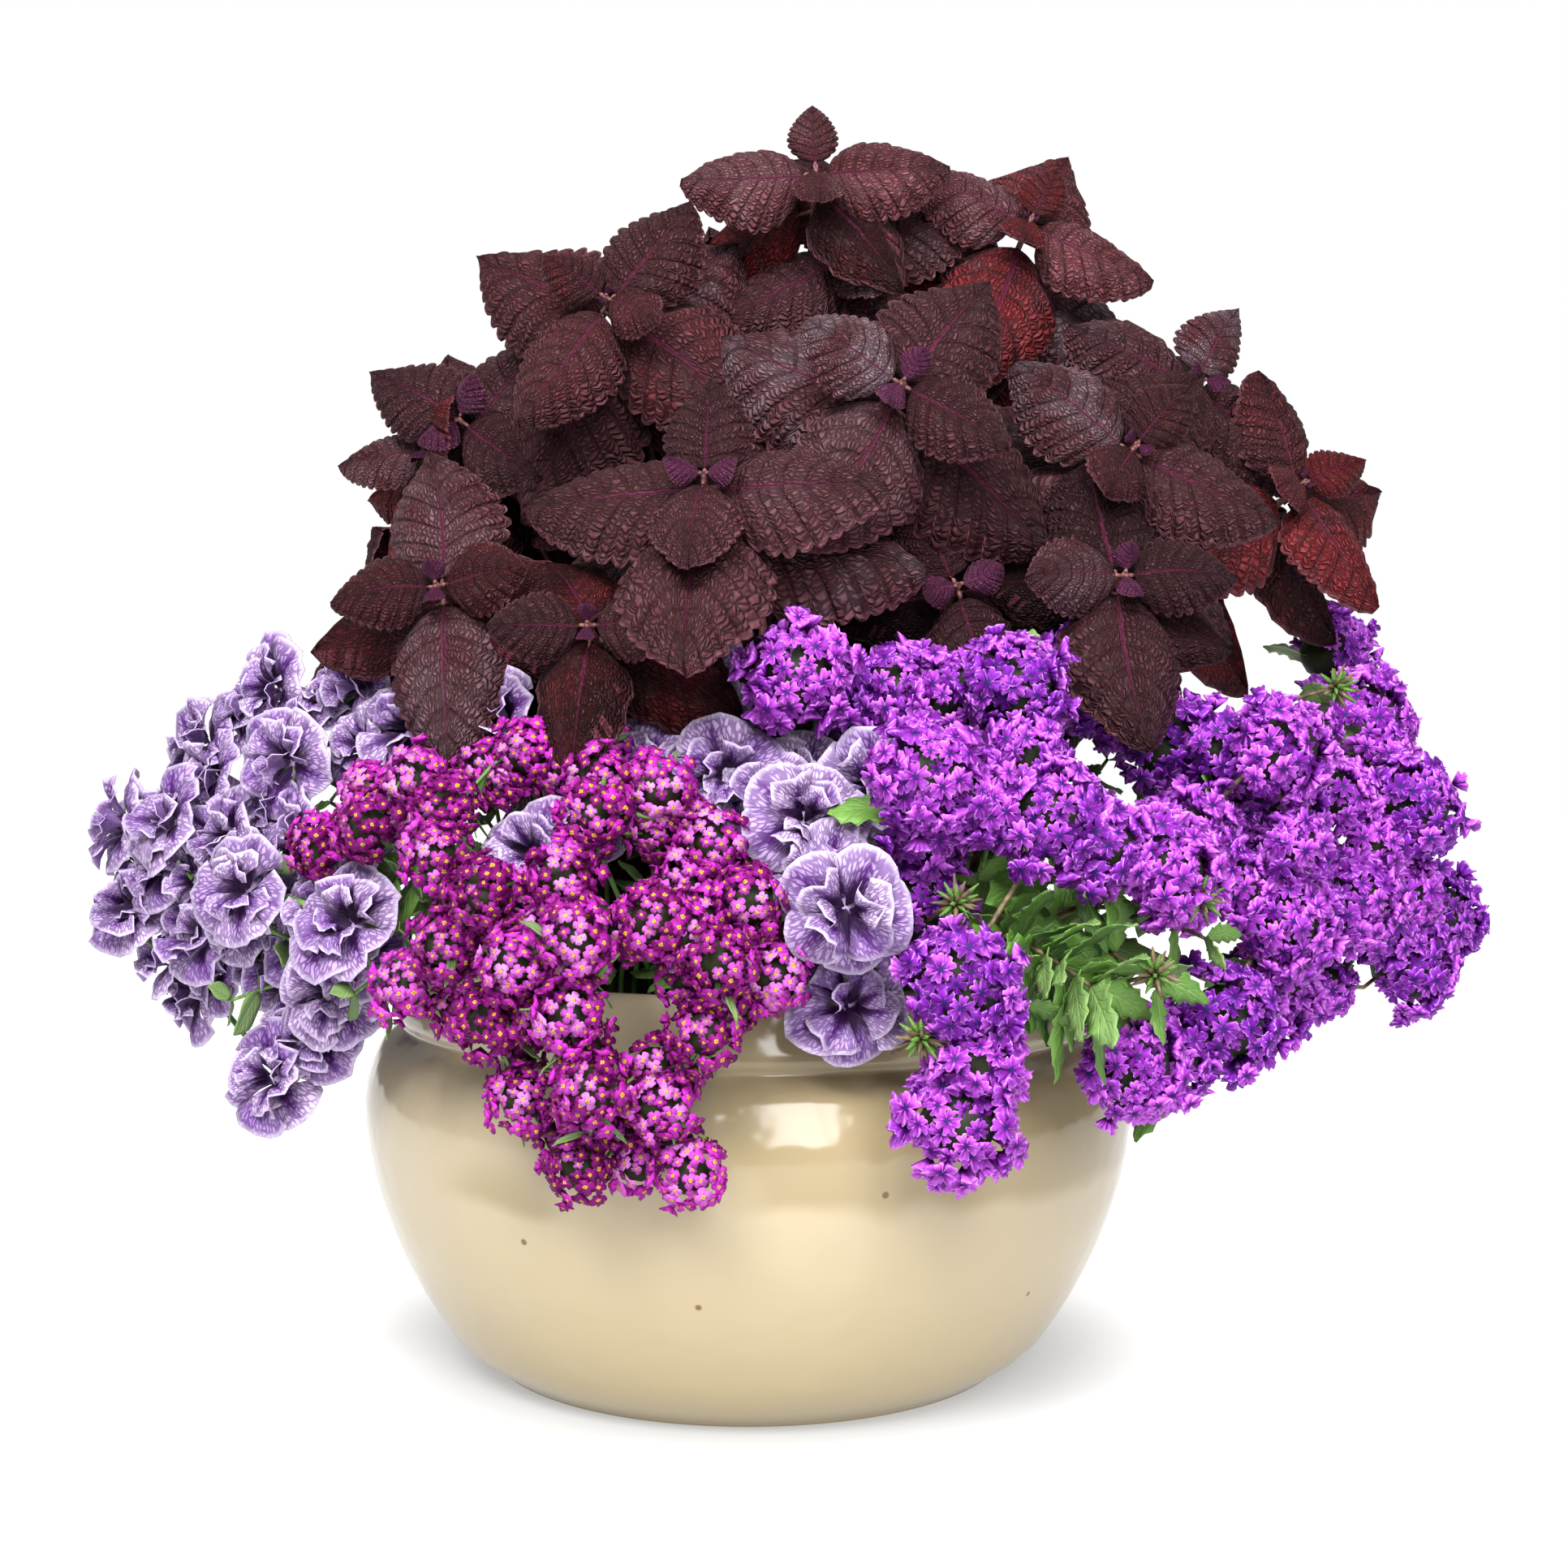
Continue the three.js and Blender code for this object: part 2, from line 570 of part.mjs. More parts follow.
// A leaf may meet its own stem and its twin, and nothing else: it takes the first bend that
// keeps it clear, and is left out where none does.
function setLeaf(plant, twins, axis, root, leaf) {
  const bend = BENDS.find((candidate) => isClear(
    [plant, twins],
    leafSolid(leafFrom(axis, root, leaf, candidate), LEAF_FREE),
  ));
  if (!bend) return;
  const solid = leafSolid(leafFrom(axis, root, leaf, bend), LEAF_THICKNESS);
  stand(twins, solid);
  plant.leaves.push(solid);
}

// The coleus leaves are set pair by pair, the youngest pair of every shoot first.
const MOST_PAIRS = Math.max(...COLEUS.map(({ pairs }) => pairs));
for (let pair = 1; pair <= MOST_PAIRS; pair += 1) {
  for (const shoot of coleus.filter(({ pairs }) => pair <= pairs)) {
    const age = shoot.age + pair;
    const twins = {};
    for (const opposite of [0, 180]) {
      setLeaf(shoot, twins, shoot.axis, backFromTip(shoot.points, leafSetback(age)), {
        turn: shoot.turn + 90 * pair + opposite,
        pitch: leafPitch(age),
        length: leafLength(age),
        edge: leafEdge(pair, shoot),
        fold: COLEUS_FOLD,
        droop: COLEUS_DROOP,
        seat: COLEUS_SEAT,
      });
    }
  }
}

const leafyHeading = (i) => {
  const next = Math.min(i + 1, leafy.stops.length - 1);
  return leafy.stops[next].clone().sub(leafy.stops[next - 1]).normalize();
};
leafy.stops.slice(-LEAFY_SHOOT.length).forEach((stop, i) => {
  const twins = {};
  for (const turn of [90 * i, 90 * i + 180]) {
    setLeaf(leafy, twins, leafyHeading(i + leafy.stops.length - LEAFY_SHOOT.length), stop, {
      ...LEAFY, turn, edge: "cut",
    });
  }
});

// ---------------------------------------------------------------- the planted bowl

const FINISH = {
  bowl: { color: 0xe4d9bf, roughness: 0.25 },
  soil: { color: 0x33261d, roughness: 1 },
  coleus: { color: 0x4a2935, roughness: 0.75 },
  petunia: { color: 0xcbbbe6, roughness: 0.6 },
  verbena: { color: 0x8a2bd6, roughness: 0.6 },
  leafy: { color: 0x5d9a3c, roughness: 0.7 },
  alyssum: { color: 0xd64fc2, roughness: 0.6 },
};

const planting = new THREE.Group();
function place(name, kind, solid) {
  const material = new THREE.MeshStandardMaterial({ metalness: 0, ...FINISH[kind] });
  const mesh = new THREE.Mesh(geometryOf(solid), material);
  mesh.name = name;
  planting.add(mesh);
}

place("pot", "bowl", bowl);
const stands = [
  ...coleus.map(({ root }) => ({ x: root.x, y: root.y, radius: COLEUS_STEM })),
  ...laid.map(({ root, radius }) => ({ x: root.x, y: root.y, radius })),
];
place("soil", "soil", soil(stands));
coleus.forEach(({ stem, leaves }, i) => {
  place(`coleus_${i + 1}`, "coleus", joined([stem, ...leaves]));
});
place("verbena_leaves", "leafy", joined([leafy.solid, ...leafy.leaves]));
for (const kind of ["petunia", "verbena", "alyssum"]) {
  sprays.filter((spray) => spray.kind === kind)
    .forEach(({ solid }, i) => place(`${kind}_${i + 1}`, kind, solid));
}

export default planting;
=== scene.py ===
import math
from functools import lru_cache
from itertools import permutations

import bpy
import numpy as np
from mathutils import Euler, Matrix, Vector


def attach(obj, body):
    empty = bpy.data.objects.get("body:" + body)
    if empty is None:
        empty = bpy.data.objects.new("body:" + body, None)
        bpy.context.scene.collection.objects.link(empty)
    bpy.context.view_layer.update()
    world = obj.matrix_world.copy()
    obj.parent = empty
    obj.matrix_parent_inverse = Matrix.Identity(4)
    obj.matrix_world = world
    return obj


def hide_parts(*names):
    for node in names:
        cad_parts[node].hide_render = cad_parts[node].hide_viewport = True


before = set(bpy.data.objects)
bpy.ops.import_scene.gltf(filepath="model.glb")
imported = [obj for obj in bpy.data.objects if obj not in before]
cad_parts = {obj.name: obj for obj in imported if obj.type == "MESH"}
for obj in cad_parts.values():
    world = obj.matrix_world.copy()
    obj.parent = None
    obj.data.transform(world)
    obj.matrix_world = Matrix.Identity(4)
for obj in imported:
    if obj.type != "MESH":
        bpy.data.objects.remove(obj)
bpy.ops.object.select_all(action="DESELECT")
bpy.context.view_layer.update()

# ------------------------------------------------------------------------------------ bowl
# A thrown ceramic bowl with a round belly, a short collar and a rolled rim, dipped in a cream
# glaze that turns a little darker and tanner towards the foot. It carries everything else.

MM = 0.001
FOOT_RADIUS = 132  # this and the next four are in mm
BELLY_RADIUS = 195
RIM_HEIGHT = 206
FLOOR_HEIGHT = 14  # of the bowl's inside
WALL = [  # radius and height: up the outside, over the rim and down the inside
    (0, 0), (60, 0), (FOOT_RADIUS - 8, 0), (FOOT_RADIUS - 1, 0.8), (FOOT_RADIUS + 3, 4), (153, 18),
    (175, 55), (190, 97), (BELLY_RADIUS, 135), (188, 160), (180, 169), (176.5, 172), (177.2, 175),
    (178, 179), (174.5, 192), (172, 200), (170, RIM_HEIGHT - 1.4), (166.5, RIM_HEIGHT),
    (162.6, RIM_HEIGHT - 1.2), (161, 200), (160, 190), (172, 165), (181, 138), (178, 100), (166, 62),
    (140, 26), (70, FLOOR_HEIGHT + 1), (0, FLOOR_HEIGHT),
]
WALL_STEPS = 3  # between two of these points
AROUND_BOWL = 120  # faces
SAME_PLACE = 0.02 * MM  # points as near as this are merged


class Wire:
    """A socket in a material. Sums and products of wires add Math nodes to it."""

    def __init__(self, tree, socket=None):
        self.tree, self.socket = tree, socket

    def add(self, kind, settings=(), sockets=(), out=0):
        """Any other node: its settings are set first, then its sockets by name or number."""
        node = self.tree.nodes.new("ShaderNode" + kind)
        for name, value in dict(settings).items():
            setattr(node, name, value)
        for name, value in dict(sockets).items():
            if isinstance(value, Wire):
                self.tree.links.new(value.socket, node.inputs[name])
            else:
                node.inputs[name].default_value = value
        return Wire(self.tree, node.outputs[out])

    def math(self, operation, *values):
        return self.add("Math", {"operation": operation}, dict(enumerate(values)))

    def mix(self, factor, first, second):
        """A colour between two others, or a vector, as the factor goes from 0 to 1."""
        return self.add("Mix", {"data_type": "RGBA"}, {0: factor, 6: first, 7: second}, 2)

    def ramp(self, *stops):
        """A smooth colour ramp over this wire, from stops of place and colour."""
        node = self.tree.nodes.new("ShaderNodeValToRGB")
        self.tree.links.new(self.socket, node.inputs[0])
        node.color_ramp.interpolation = "EASE"
        elements = node.color_ramp.elements
        for _ in stops[2:]:
            elements.new(0.5)
        for element, (place, colour) in zip(elements, stops):
            element.position, element.color = place, (*colour, 1)
        return Wire(self.tree, node.outputs[0])

    def between(self, low, high):
        """0 below low, 1 above high, and smooth between them."""
        kind = {"interpolation_type": "SMOOTHSTEP"}
        return self.add("MapRange", kind, {0: self, 1: low, 2: high})

    def object_place(self):
        """The place of a point on the whole object."""
        return self.add("TexCoord", out="Object")

    def sheet_place(self):
        """How far along and how far across its own leaf, petal or stem a point is."""
        return self.add("UVMap", {"uv_map": "place"}).split()[:2]

    def own_tone(self):
        """The three numbers that a leaf, petal or stem was given for its colours."""
        return self.add("Attribute", {"attribute_name": "tone"}, out="Vector").split()

    def from_whole(self):
        """The distance to the nearest whole number."""
        return self.math("ABSOLUTE", self.math("FRACT", self + 0.5) - 0.5)

    def strayed(self, scale, x, y):
        """A place moved about by a slow noise, so that a pattern on it isn't regular."""
        noise = self.noise(scale, 2)
        stray = self.add("CombineXYZ", (), {"X": noise * x, "Y": noise * y})
        return self.add("VectorMath", {"operation": "ADD"}, {0: self, 1: stray})

    def edges(self, scale=1.0, randomness=1.0):
        """The distance to the nearest edge between irregular cells."""
        sockets = {"Vector": self, "Scale": scale, "Randomness": randomness}
        return self.add("TexVoronoi", {"feature": "DISTANCE_TO_EDGE"}, sockets)

    def noise(self, scale, detail=3.0, roughness=0.5):
        sockets = {"Vector": self, "Scale": scale, "Detail": detail, "Roughness": roughness}
        return self.add("TexNoise", (), sockets)

    def split(self):
        node = self.tree.nodes.new("ShaderNodeSeparateXYZ")
        self.tree.links.new(self.socket, node.inputs[0])
        return [Wire(self.tree, output) for output in node.outputs]

    def __add__(self, other):
        return self.math("ADD", self, other)

    def __sub__(self, other):
        return self.math("SUBTRACT", self, other)

    def __rsub__(self, other):
        return self.math("SUBTRACT", other, self)

    def __mul__(self, other):
        return self.math("MULTIPLY", self, other)

    __radd__, __rmul__ = __add__, __mul__


def new_material(name):
    """An empty material and the wire that its nodes start from."""
    made = bpy.data.materials.new(name)
    made.use_nodes = True
    return made, Wire(made.node_tree)


def finish_surface(start, sockets, bump=None, strength=0.5, depth=1 * MM):
    """Gives the Principled BSDF its values, with a bump from a height between 0 and 1."""
    shader = start.tree.nodes["Principled BSDF"]
    if bump is not None:
        relief = {"Height": bump, "Strength": strength, "Distance": depth}
        sockets = {**sockets, "Normal": start.add("Bump", (), relief)}
    for name, value in sockets.items():
        if isinstance(value, Wire):
            start.tree.links.new(value.socket, shader.inputs[name])
        else:
            shader.inputs[name].default_value = value


def smooth_through(points, steps):
    """A Catmull-Rom curve through points, with steps from each to the next."""
    points = np.asarray(points, float)
    padded = np.vstack([2 * points[0] - points[1], points, 2 * points[-1] - points[-2]])
    share = np.linspace(0, 1, steps, endpoint=False)[:, None]
    runs = []
    for a, b, c, d in zip(padded, padded[1:], padded[2:], padded[3:]):
        runs.append(0.5 * (2 * b + (c - a) * share + (2 * a - 5 * b + 4 * c - d) * share**2
                           + (3 * b - a - 3 * c + d) * share**3))
    return np.vstack([*runs, points[-1:]])


def turned_on_z(name, profile, around):
    """A closed body spun about the vertical axis from a profile that starts and ends on it."""
    mesh = bpy.data.meshes.new(name)
    edges = [(i, i + 1) for i in range(len(profile) - 1)]
    mesh.from_pydata([(radius, 0, height) for radius, height in profile], edges, [])
    piece = bpy.data.objects.new(name, mesh)
    bpy.context.collection.objects.link(piece)
    bpy.context.view_layer.objects.active = piece
    piece.select_set(True)
    bpy.ops.object.mode_set(mode="EDIT")
    bpy.ops.mesh.select_all(action="SELECT")
    bpy.ops.mesh.spin(steps=around, angle=2 * math.pi, center=(0, 0, 0), axis=(0, 0, 1))
    bpy.ops.mesh.select_all(action="SELECT")
    bpy.ops.mesh.remove_doubles(threshold=SAME_PLACE)
    bpy.ops.mesh.normals_make_consistent(inside=False)
    bpy.ops.mesh.faces_shade_smooth()
    bpy.ops.object.mode_set(mode="OBJECT")
    piece.select_set(False)
    return piece


bowl = turned_on_z("bowl", smooth_through(np.array(WALL) * MM, WALL_STEPS).clip(min=0), AROUND_BOWL)

GLAZE = {
    "cream": (0.44, 0.365, 0.248, 1), "tan": (0.42, 0.33, 0.175, 1),
    # olive is a painted reflection of the plants over the shoulder
    "olive": (0.30, 0.235, 0.125, 1), "speck": (0.12, 0.05, 0.02, 1),
}
GLAZE_WAVES = 4 * MM


def glaze():
    """Cream, tan towards the foot and in faint clouds, a painted olive reflection of the plants over the
    shoulder, with specks.
    """
    made, start = new_material("cream_glaze")
    place = start.object_place()
    height = place.split()[2]
    cloud = place.noise(9, 4)
    # darker and tanner towards the foot
    towards_foot = (height + cloud * 0.06).between(0.2, 0.0)
    tone = start.mix(towards_foot * 0.8, GLAZE["cream"], GLAZE["tan"])
    tone = start.mix(place.noise(32, 5).between(0.45, 0.8) * 0.22, tone, GLAZE["tan"])
    # painted reflection: an olive band with a wavy lower edge over the shoulder, where the glaze would
    # mirror the plants
    shoulder = (height + place.noise(9, 2) * 0.08).between(0.150, 0.162)
    painted_reflection = shoulder * place.noise(4.5, 1).between(0.45, 0.51)
    tone = start.mix(painted_reflection * 0.85, tone, GLAZE["olive"])
    spots = start.add("TexVoronoi", (), {"Vector": place, "Scale": 26, "Randomness": 1})
    speck = spots.between(0.055, 0.03) * place.noise(3.3, 0).between(0.46, 0.50)
    tone = start.mix(speck * 0.85, tone, GLAZE["speck"])
    waves = place.noise(13, 2) + place.noise(36, 2) * 0.45
    sockets = {"Base Color": tone, "Roughness": 0.08 + 0.1 * cloud, "IOR": 1.5}
    finish_surface(start, sockets, waves, 0.5, GLAZE_WAVES)
    return made


bowl.data.materials.append(glaze())
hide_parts("pot")
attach(bowl, "root")

# ------------------------------------------------------------------------------------ soil
# Moist potting soil fills the bowl to a finger below its rim. It is a crumbly top on a plain
# body that lies against the inside of the bowl.

SOIL = {"radius": 159 * MM, "edge": 191 * MM, "middle": 199 * MM}  # of its top
SOIL_BODY = [  # radius and height in mm, a little inside the bowl
    (0, 15), (70, 16), (138, 28), (164.5, 62), (176, 100), (179.5, 138), (168, 172), (159.5, 190),
]
SOIL_RINGS = 32  # of its top
CRUMBS = {"height": 1.1 * MM, "size": 9 * MM, "finer": (1.0, 2.3, 4.1, 7.7)}


def soil_height(radius):
    """The top's height, which falls a little from the middle to the edge."""
    return np.interp(radius, [0, SOIL["radius"]], [SOIL["middle"], SOIL["edge"]])


top = [(radius, soil_height(radius)) for radius in np.linspace(SOIL["radius"], 0, SOIL_RINGS)]
soil = turned_on_z("potting_soil", [*(np.array(SOIL_BODY) * MM), *top[1:]], AROUND_BOWL)


def crumble(piece):
    """Raises crumbs on the top of the soil, by a formula of the place alone."""
    points = np.array([v.co for v in piece.data.vertices])
    x, y = points[:, 0] / CRUMBS["size"], points[:, 1] / CRUMBS["size"]
    bumps = 0
    for f in CRUMBS["finer"]:
        across_x = np.sin(x * f + 1.7 * f * np.cos(y * f * 0.83))
        across_y = np.cos(y * f + 1.3 * np.sin(x * f))
        bumps = bumps + across_x * across_y / f**0.6
    inside = np.hypot(points[:, 0], points[:, 1]) < SOIL["radius"] - 3 * MM
    on_top = inside & (points[:, 2] > SOIL["edge"] - 6 * MM)
    points[:, 2] += np.where(on_top, bumps * CRUMBS["height"], 0)
    piece.data.vertices.foreach_set("co", points.ravel())
    piece.data.update()


crumble(soil)


def earth():
    """Nearly black between its grains, brown on most of them, and paler on a few."""
    made, start = new_material("potting_soil")
    grain = start.object_place().noise(420, 4, 0.7)
    black, brown, pale = (0.008, 0.005, 0.003), (0.03, 0.018, 0.01), (0.1, 0.06, 0.035)
    tone = grain.ramp((0.3, black), (0.55, brown), (0.8, pale))
    finish_surface(start, {"Base Color": tone, "Roughness": 0.95}, grain, 0.9, 2 * MM)
    return made


soil.data.materials.append(earth())
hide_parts("soil")
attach(soil, "root")

# ---------------------------------------------------------------------------------- coleus
# Dark coleus: square brown stems with crossed pairs of scalloped leaves, whose blades are
# quilted between a net of sunken veins. The youngest pairs at the tips are still folded up.

COLEUS = [  # tip in mm, the way it faces, turn of its pairs, its tip's age, outer pairs, how red (its own red and painted backlight)
    ((34, 0, 604), (0, -0.85, 0.45), 3, 0.5, 2, 0.45),
    ((70, -130, 481), (0.1, -0.9, 0.3), 55, 1.1, 4, 0.1),
    ((-70, -40, 533), (-0.15, -0.9, 0.35), -33, 1.6, 3, 0.35),
    ((186, -70, 458), (0.25, -0.85, 0.35), -43, 0.75, 4, 0.15),
    ((-20, -150, 438), (-0.1, -0.75, 0.6), 0, 1.1, 4, 0.1),
    ((-145, -110, 390), (-0.2, -0.85, 0.3), -80, 0.9, 2, 0.2),
    ((-170, 40, 466), (-0.4, -0.6, 0.4), 105, 0.9, 3, 0.9),
    ((291, 30, 448), (0.4, -0.7, 0.45), 105, 0.6, 3, 0.9),
    ((147, 30, 584), (0.2, -0.75, 0.5), -30, 0.5, 4, 0.8),
    ((-72, -150, 371), (-0.1, -0.9, 0.25), 90, 0.8, 1, 0.15),
    ((50, 20, 568), (-0.1, -0.8, 0.5), -60, 1.8, 2, 0.15),
    ((235, 20, 500), (0.35, -0.8, 0.4), 60, 1.9, 1, 0.1),
    ((-150, 20, 480), (-0.3, -0.85, 0.4), 150, 2.3, 1, 0.05),
    ((175, -110, 395), (0.2, -0.9, 0.3), 0, 2, 1, 0),
    ((98, -105, 390), (0.1, -0.9, 0.3), 20, 1.2, 1, 0),
    ((-110, 110, 500), (-0.5, 0.45, 0.7), 30, 1.6, 3, 0.3),
    ((10, 130, 560), (0, 0.55, 0.8), 70, 1.6, 3, 0.3),
    ((140, 130, 520), (0.4, 0.6, 0.65), 15, 1.6, 3, 0.4),
    ((-60, 200, 410), (-0.3, 0.85, 0.4), 50, 1.4, 2, 0.1),
    ((80, 210, 420), (0.2, 0.9, 0.4), 0, 1.4, 3, 0.1),
    ((215, 165, 390), (0.65, 0.65, 0.35), 60, 1.4, 2, 0.3),
    ((-200, 125, 385), (-0.75, 0.5, 0.35), 45, 1.4, 2, 0.4),
]
STEM_DEPTH = 15 * MM  # in the soil
COLEUS_STEM = {"foot": 3.2 * MM, "tip": 1.5 * MM, "steps": 6, "sides": 8}
COLEUS_MIDDLE = np.array([20, 30]) * MM  # of all the tips, seen from above
ROOT_SPREAD = 0.35  # how far the roots stand apart, as a share of how far the tips do
ROOT_SHIFT = 10 * MM
FULL_LEAF = 98 * MM
FOLD = 0.2  # of a blade along its rib
DROOP = 0.1  # of its tip, as a share of its length
SEAT = 0.8 * MM  # from the middle of a stem to the foot of a leaf
CAD_BLADE = 1 * MM  # thickness of a leaf in its CAD node
NEAR_TIP = 0.15 * MM  # as near as this, a point of the node is that leaf's tip
BENDS = [  # more pitch and swing in degrees, and a share of the length: a node has one of these
    (pitch, swing, share) for share in (1, 0.85, 0.7) for pitch, swing in (
        (0, 0), (12, 0), (-12, 0), (0, 14), (0, -14), (24, 0), (-24, 0),
        (12, 14), (12, -14), (-12, 14), (-12, -14), (36, 0), (24, 20), (24, -20))
]
UNBENT = (0, 0, 1)
LATERALS = 7  # side veins on each half of a leaf
ROWS_IN_SCALLOP = 4
BLADE = {  # shares of a leaf's length
    "stalk": 0.08, "half": 0.39, "scallop": 0.11, "quilt": 0.02, "cell": 0.009, "rib": 0.014,
    "arch": 0.05, "hem": 0.03, "edge": 0.05, "wave": 0.014,
}
COLEUS_GRID = {"inner": (12, 4), "bud": (16, 6), "grown": (48, 6)}  # cells along and across
UP = np.array([0.0, 0.0, 1.0])


def unit(v):
    """A direction, or several, with its length made 1."""
    v = np.asarray(v, float)
    return v / np.linalg.norm(v, axis=-1, keepdims=True)


def across(faces):
    """Two directions square to "faces": to its right and upwards."""
    right = unit(np.cross(UP, faces))
    return right, np.cross(faces, right)


def turned_about(v, axis, angle):
    """A direction turned about another, in radians."""
    return (v * math.cos(angle) + np.cross(axis, v) * math.sin(angle)
            + axis * (axis @ v) * (1 - math.cos(angle)))


def back_from_tip(points, distance):
    """The point on a chain of points at a distance from its last one."""
    for a, b in zip(points[:0:-1], points[-2::-1]):
        length = np.linalg.norm(b - a)
        if distance <= length:
            return a + (b - a) * distance / length
        distance -= length
    return points[0]


def bezier(a, b, c, d, steps):
    """A curve from a to d that leaves towards b and arrives from c."""
    t = np.linspace(0, 1, steps + 1)[:, None]
    return a * (1 - t)**3 + 3 * b * t * (1 - t)**2 + 3 * c * t**2 * (1 - t) + d * t**3


@lru_cache
def slab(rows, columns):
    """Faces of a closed sheet of rows x columns cells: upper points first, then lower ones."""
    count = (rows + 1) * (columns + 1)
    at = np.arange(count).reshape(rows + 1, columns + 1)
    upper = np.stack([at[:-1, :-1], at[1:, :-1], at[1:, 1:], at[:-1, 1:]], -1).reshape(-1, 4)
    rim = np.concatenate([at[0], at[1:, -1], at[-1, -2::-1], at[-2::-1, 0]])
    sides = np.stack([rim[:-1], rim[1:], rim[1:] + count, rim[:-1] + count], -1)
    return np.vstack([upper, upper[:, ::-1] + count, sides]).tolist()


class Sheaf:
    """Leaves, petals and stems gathered into one mesh, with what their materials read."""

    def __init__(self):
        self.points, self.faces, self.places, self.tones, self.finishes = [], [], [], [], []
        self.count = 0

    def add(self, points, faces, place, tone, finish=0):
        """Each point has a place of two numbers and a tone of three."""
        self.points.append(points)
        self.faces += [[corner + self.count for corner in face] for face in faces]
        self.places.append(place)
        self.tones.append(np.broadcast_to(tone, (len(points), 3)))
        self.finishes += [finish] * len(faces)
        self.count += len(points)

    def add_sheet(self, points, thickness, place, tone, rows, columns, finish=0):
        """A closed sheet from its upper points. The last number of its tone is 1 underneath."""
        tones = np.tile([*tone, 0.0], (2 * len(points), 1))
        tones[len(points):, 2] = 1
        self.add(np.vstack([points, points - thickness]), slab(rows, columns),
                 np.vstack([place, place]), tones, finish)

    def add_stem(self, path, radii, sides, finish, tone=(0.5, 0, 0)):
        """A closed round stem along a path, with one radius or one for each point."""
        path = np.asarray(path, float)
        along = unit(np.gradient(path, axis=0))
        side = unit(np.cross(along[0], [0.31, 0.95, 0.05]))  # no stem starts out this way
        turns = np.arange(sides) / sides * 2 * math.pi
        rings = []
        for point, ahead, radius in zip(path, along, np.broadcast_to(radii, len(path))):
            side = unit(side - ahead * (side @ ahead))
            ring = np.outer(np.cos(turns), side) + np.outer(np.sin(turns), np.cross(ahead, side))
            rings.append(point + ring * radius)
        at = np.arange(len(path) * sides).reshape(len(path), sides)
        ends = [at[0, ::-1].tolist(), at[-1].tolist()]
        at = np.hstack([at, at[:, :1]])
        faces = np.stack([at[:-1, :-1], at[:-1, 1:], at[1:, 1:], at[1:, :-1]], -1).reshape(-1, 4)
        share = np.repeat(np.linspace(0, 1, len(path)), sides)
        place = np.stack([share, np.zeros(len(share))], -1)
        self.add(np.vstack(rings), faces.tolist() + ends, place, tone, finish)

    def piece(self, name, materials, nodes, slot):
        """The finished piece, which stands for its CAD nodes and rides on the body."""
        mesh = bpy.data.meshes.new(name)
        mesh.from_pydata(np.vstack(self.points), [], self.faces)
        corners = np.empty(len(mesh.loops), np.int32)
        mesh.loops.foreach_get("vertex_index", corners)
        layer = mesh.uv_layers.new(name="place")
        layer.uv.foreach_set("vector", np.vstack(self.places)[corners].astype(np.float32).ravel())
        tone = mesh.attributes.new("tone", "FLOAT_VECTOR", "POINT")
        tone.data.foreach_set("vector", np.vstack(self.tones).astype(np.float32).ravel())
        for material in materials:
            mesh.materials.append(material)
        mesh.polygons.foreach_set("material_index", np.array(self.finishes, np.int32))
        mesh.polygons.foreach_set("use_smooth", np.ones(len(mesh.polygons), bool))
        mesh.update()
        piece = bpy.data.objects.new(name, mesh)
        bpy.context.collection.objects.link(piece)
        if nodes:
            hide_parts(*nodes)
        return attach(piece, "root")


def rounded(points, times=2):
    """A chain of points with its corners cut off, its ends kept."""
    points = np.asarray(points, float)
    for _ in range(times):
        a, b = points[:-1], points[1:]
        cut = np.stack([a * 0.75 + b * 0.25, a * 0.25 + b * 0.75], 1).reshape(-1, 3)
        points = np.vstack([points[:1], cut, points[-1:]])
    return points


def leaf_length(age):
    return FULL_LEAF * (1 - math.exp(-((age / 2.3) ** 2)))


def leaf_setback(age):
    """How far behind the tip of its stem a leaf grows."""
    return 0.35 * age**2.9 * MM


def leaf_pitch(age):
    """Degrees between the stem and a leaf, which opens as it grows."""
    return 120 * (1 - math.exp(-age / 2.2))


def leaf_from(axis, root, turn, pitch, length, bend):
    """Where a leaf starts, the way it grows, the way its face looks, and its length."""
    more, swing, share = bend
    right, up = across(axis)
    angle, lean = math.radians(turn), math.radians(pitch + more)
    outwards = right * math.cos(angle) + up * math.sin(angle)
    along = axis * math.cos(lean) + outwards * math.sin(lean)
    face = axis * math.sin(lean) - outwards * math.cos(lean)
    along = turned_about(along, face, math.radians(swing))
    return root + outwards * SEAT, along, face, length * share


def node_points(name):
    """The corners of a CAD node."""
    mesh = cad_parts[name].data
    points = np.empty(len(mesh.vertices) * 3, np.float32)
    mesh.vertices.foreach_get("co", points)
    return points.reshape(-1, 3).astype(float)


def bend_in_node(points, grow, droop):
    """The bend with which a leaf's tip is among the points of its node, or None."""
    for bend in BENDS:
        root, along, face, length = leaf_from(*grow, bend)
        tip = root + along * length - UP * droop * length
        if all(np.linalg.norm(points - tip - face * lift, axis=1).min() < NEAR_TIP
               for lift in (CAD_BLADE / 2, -CAD_BLADE / 2)):
            return bend
    return None


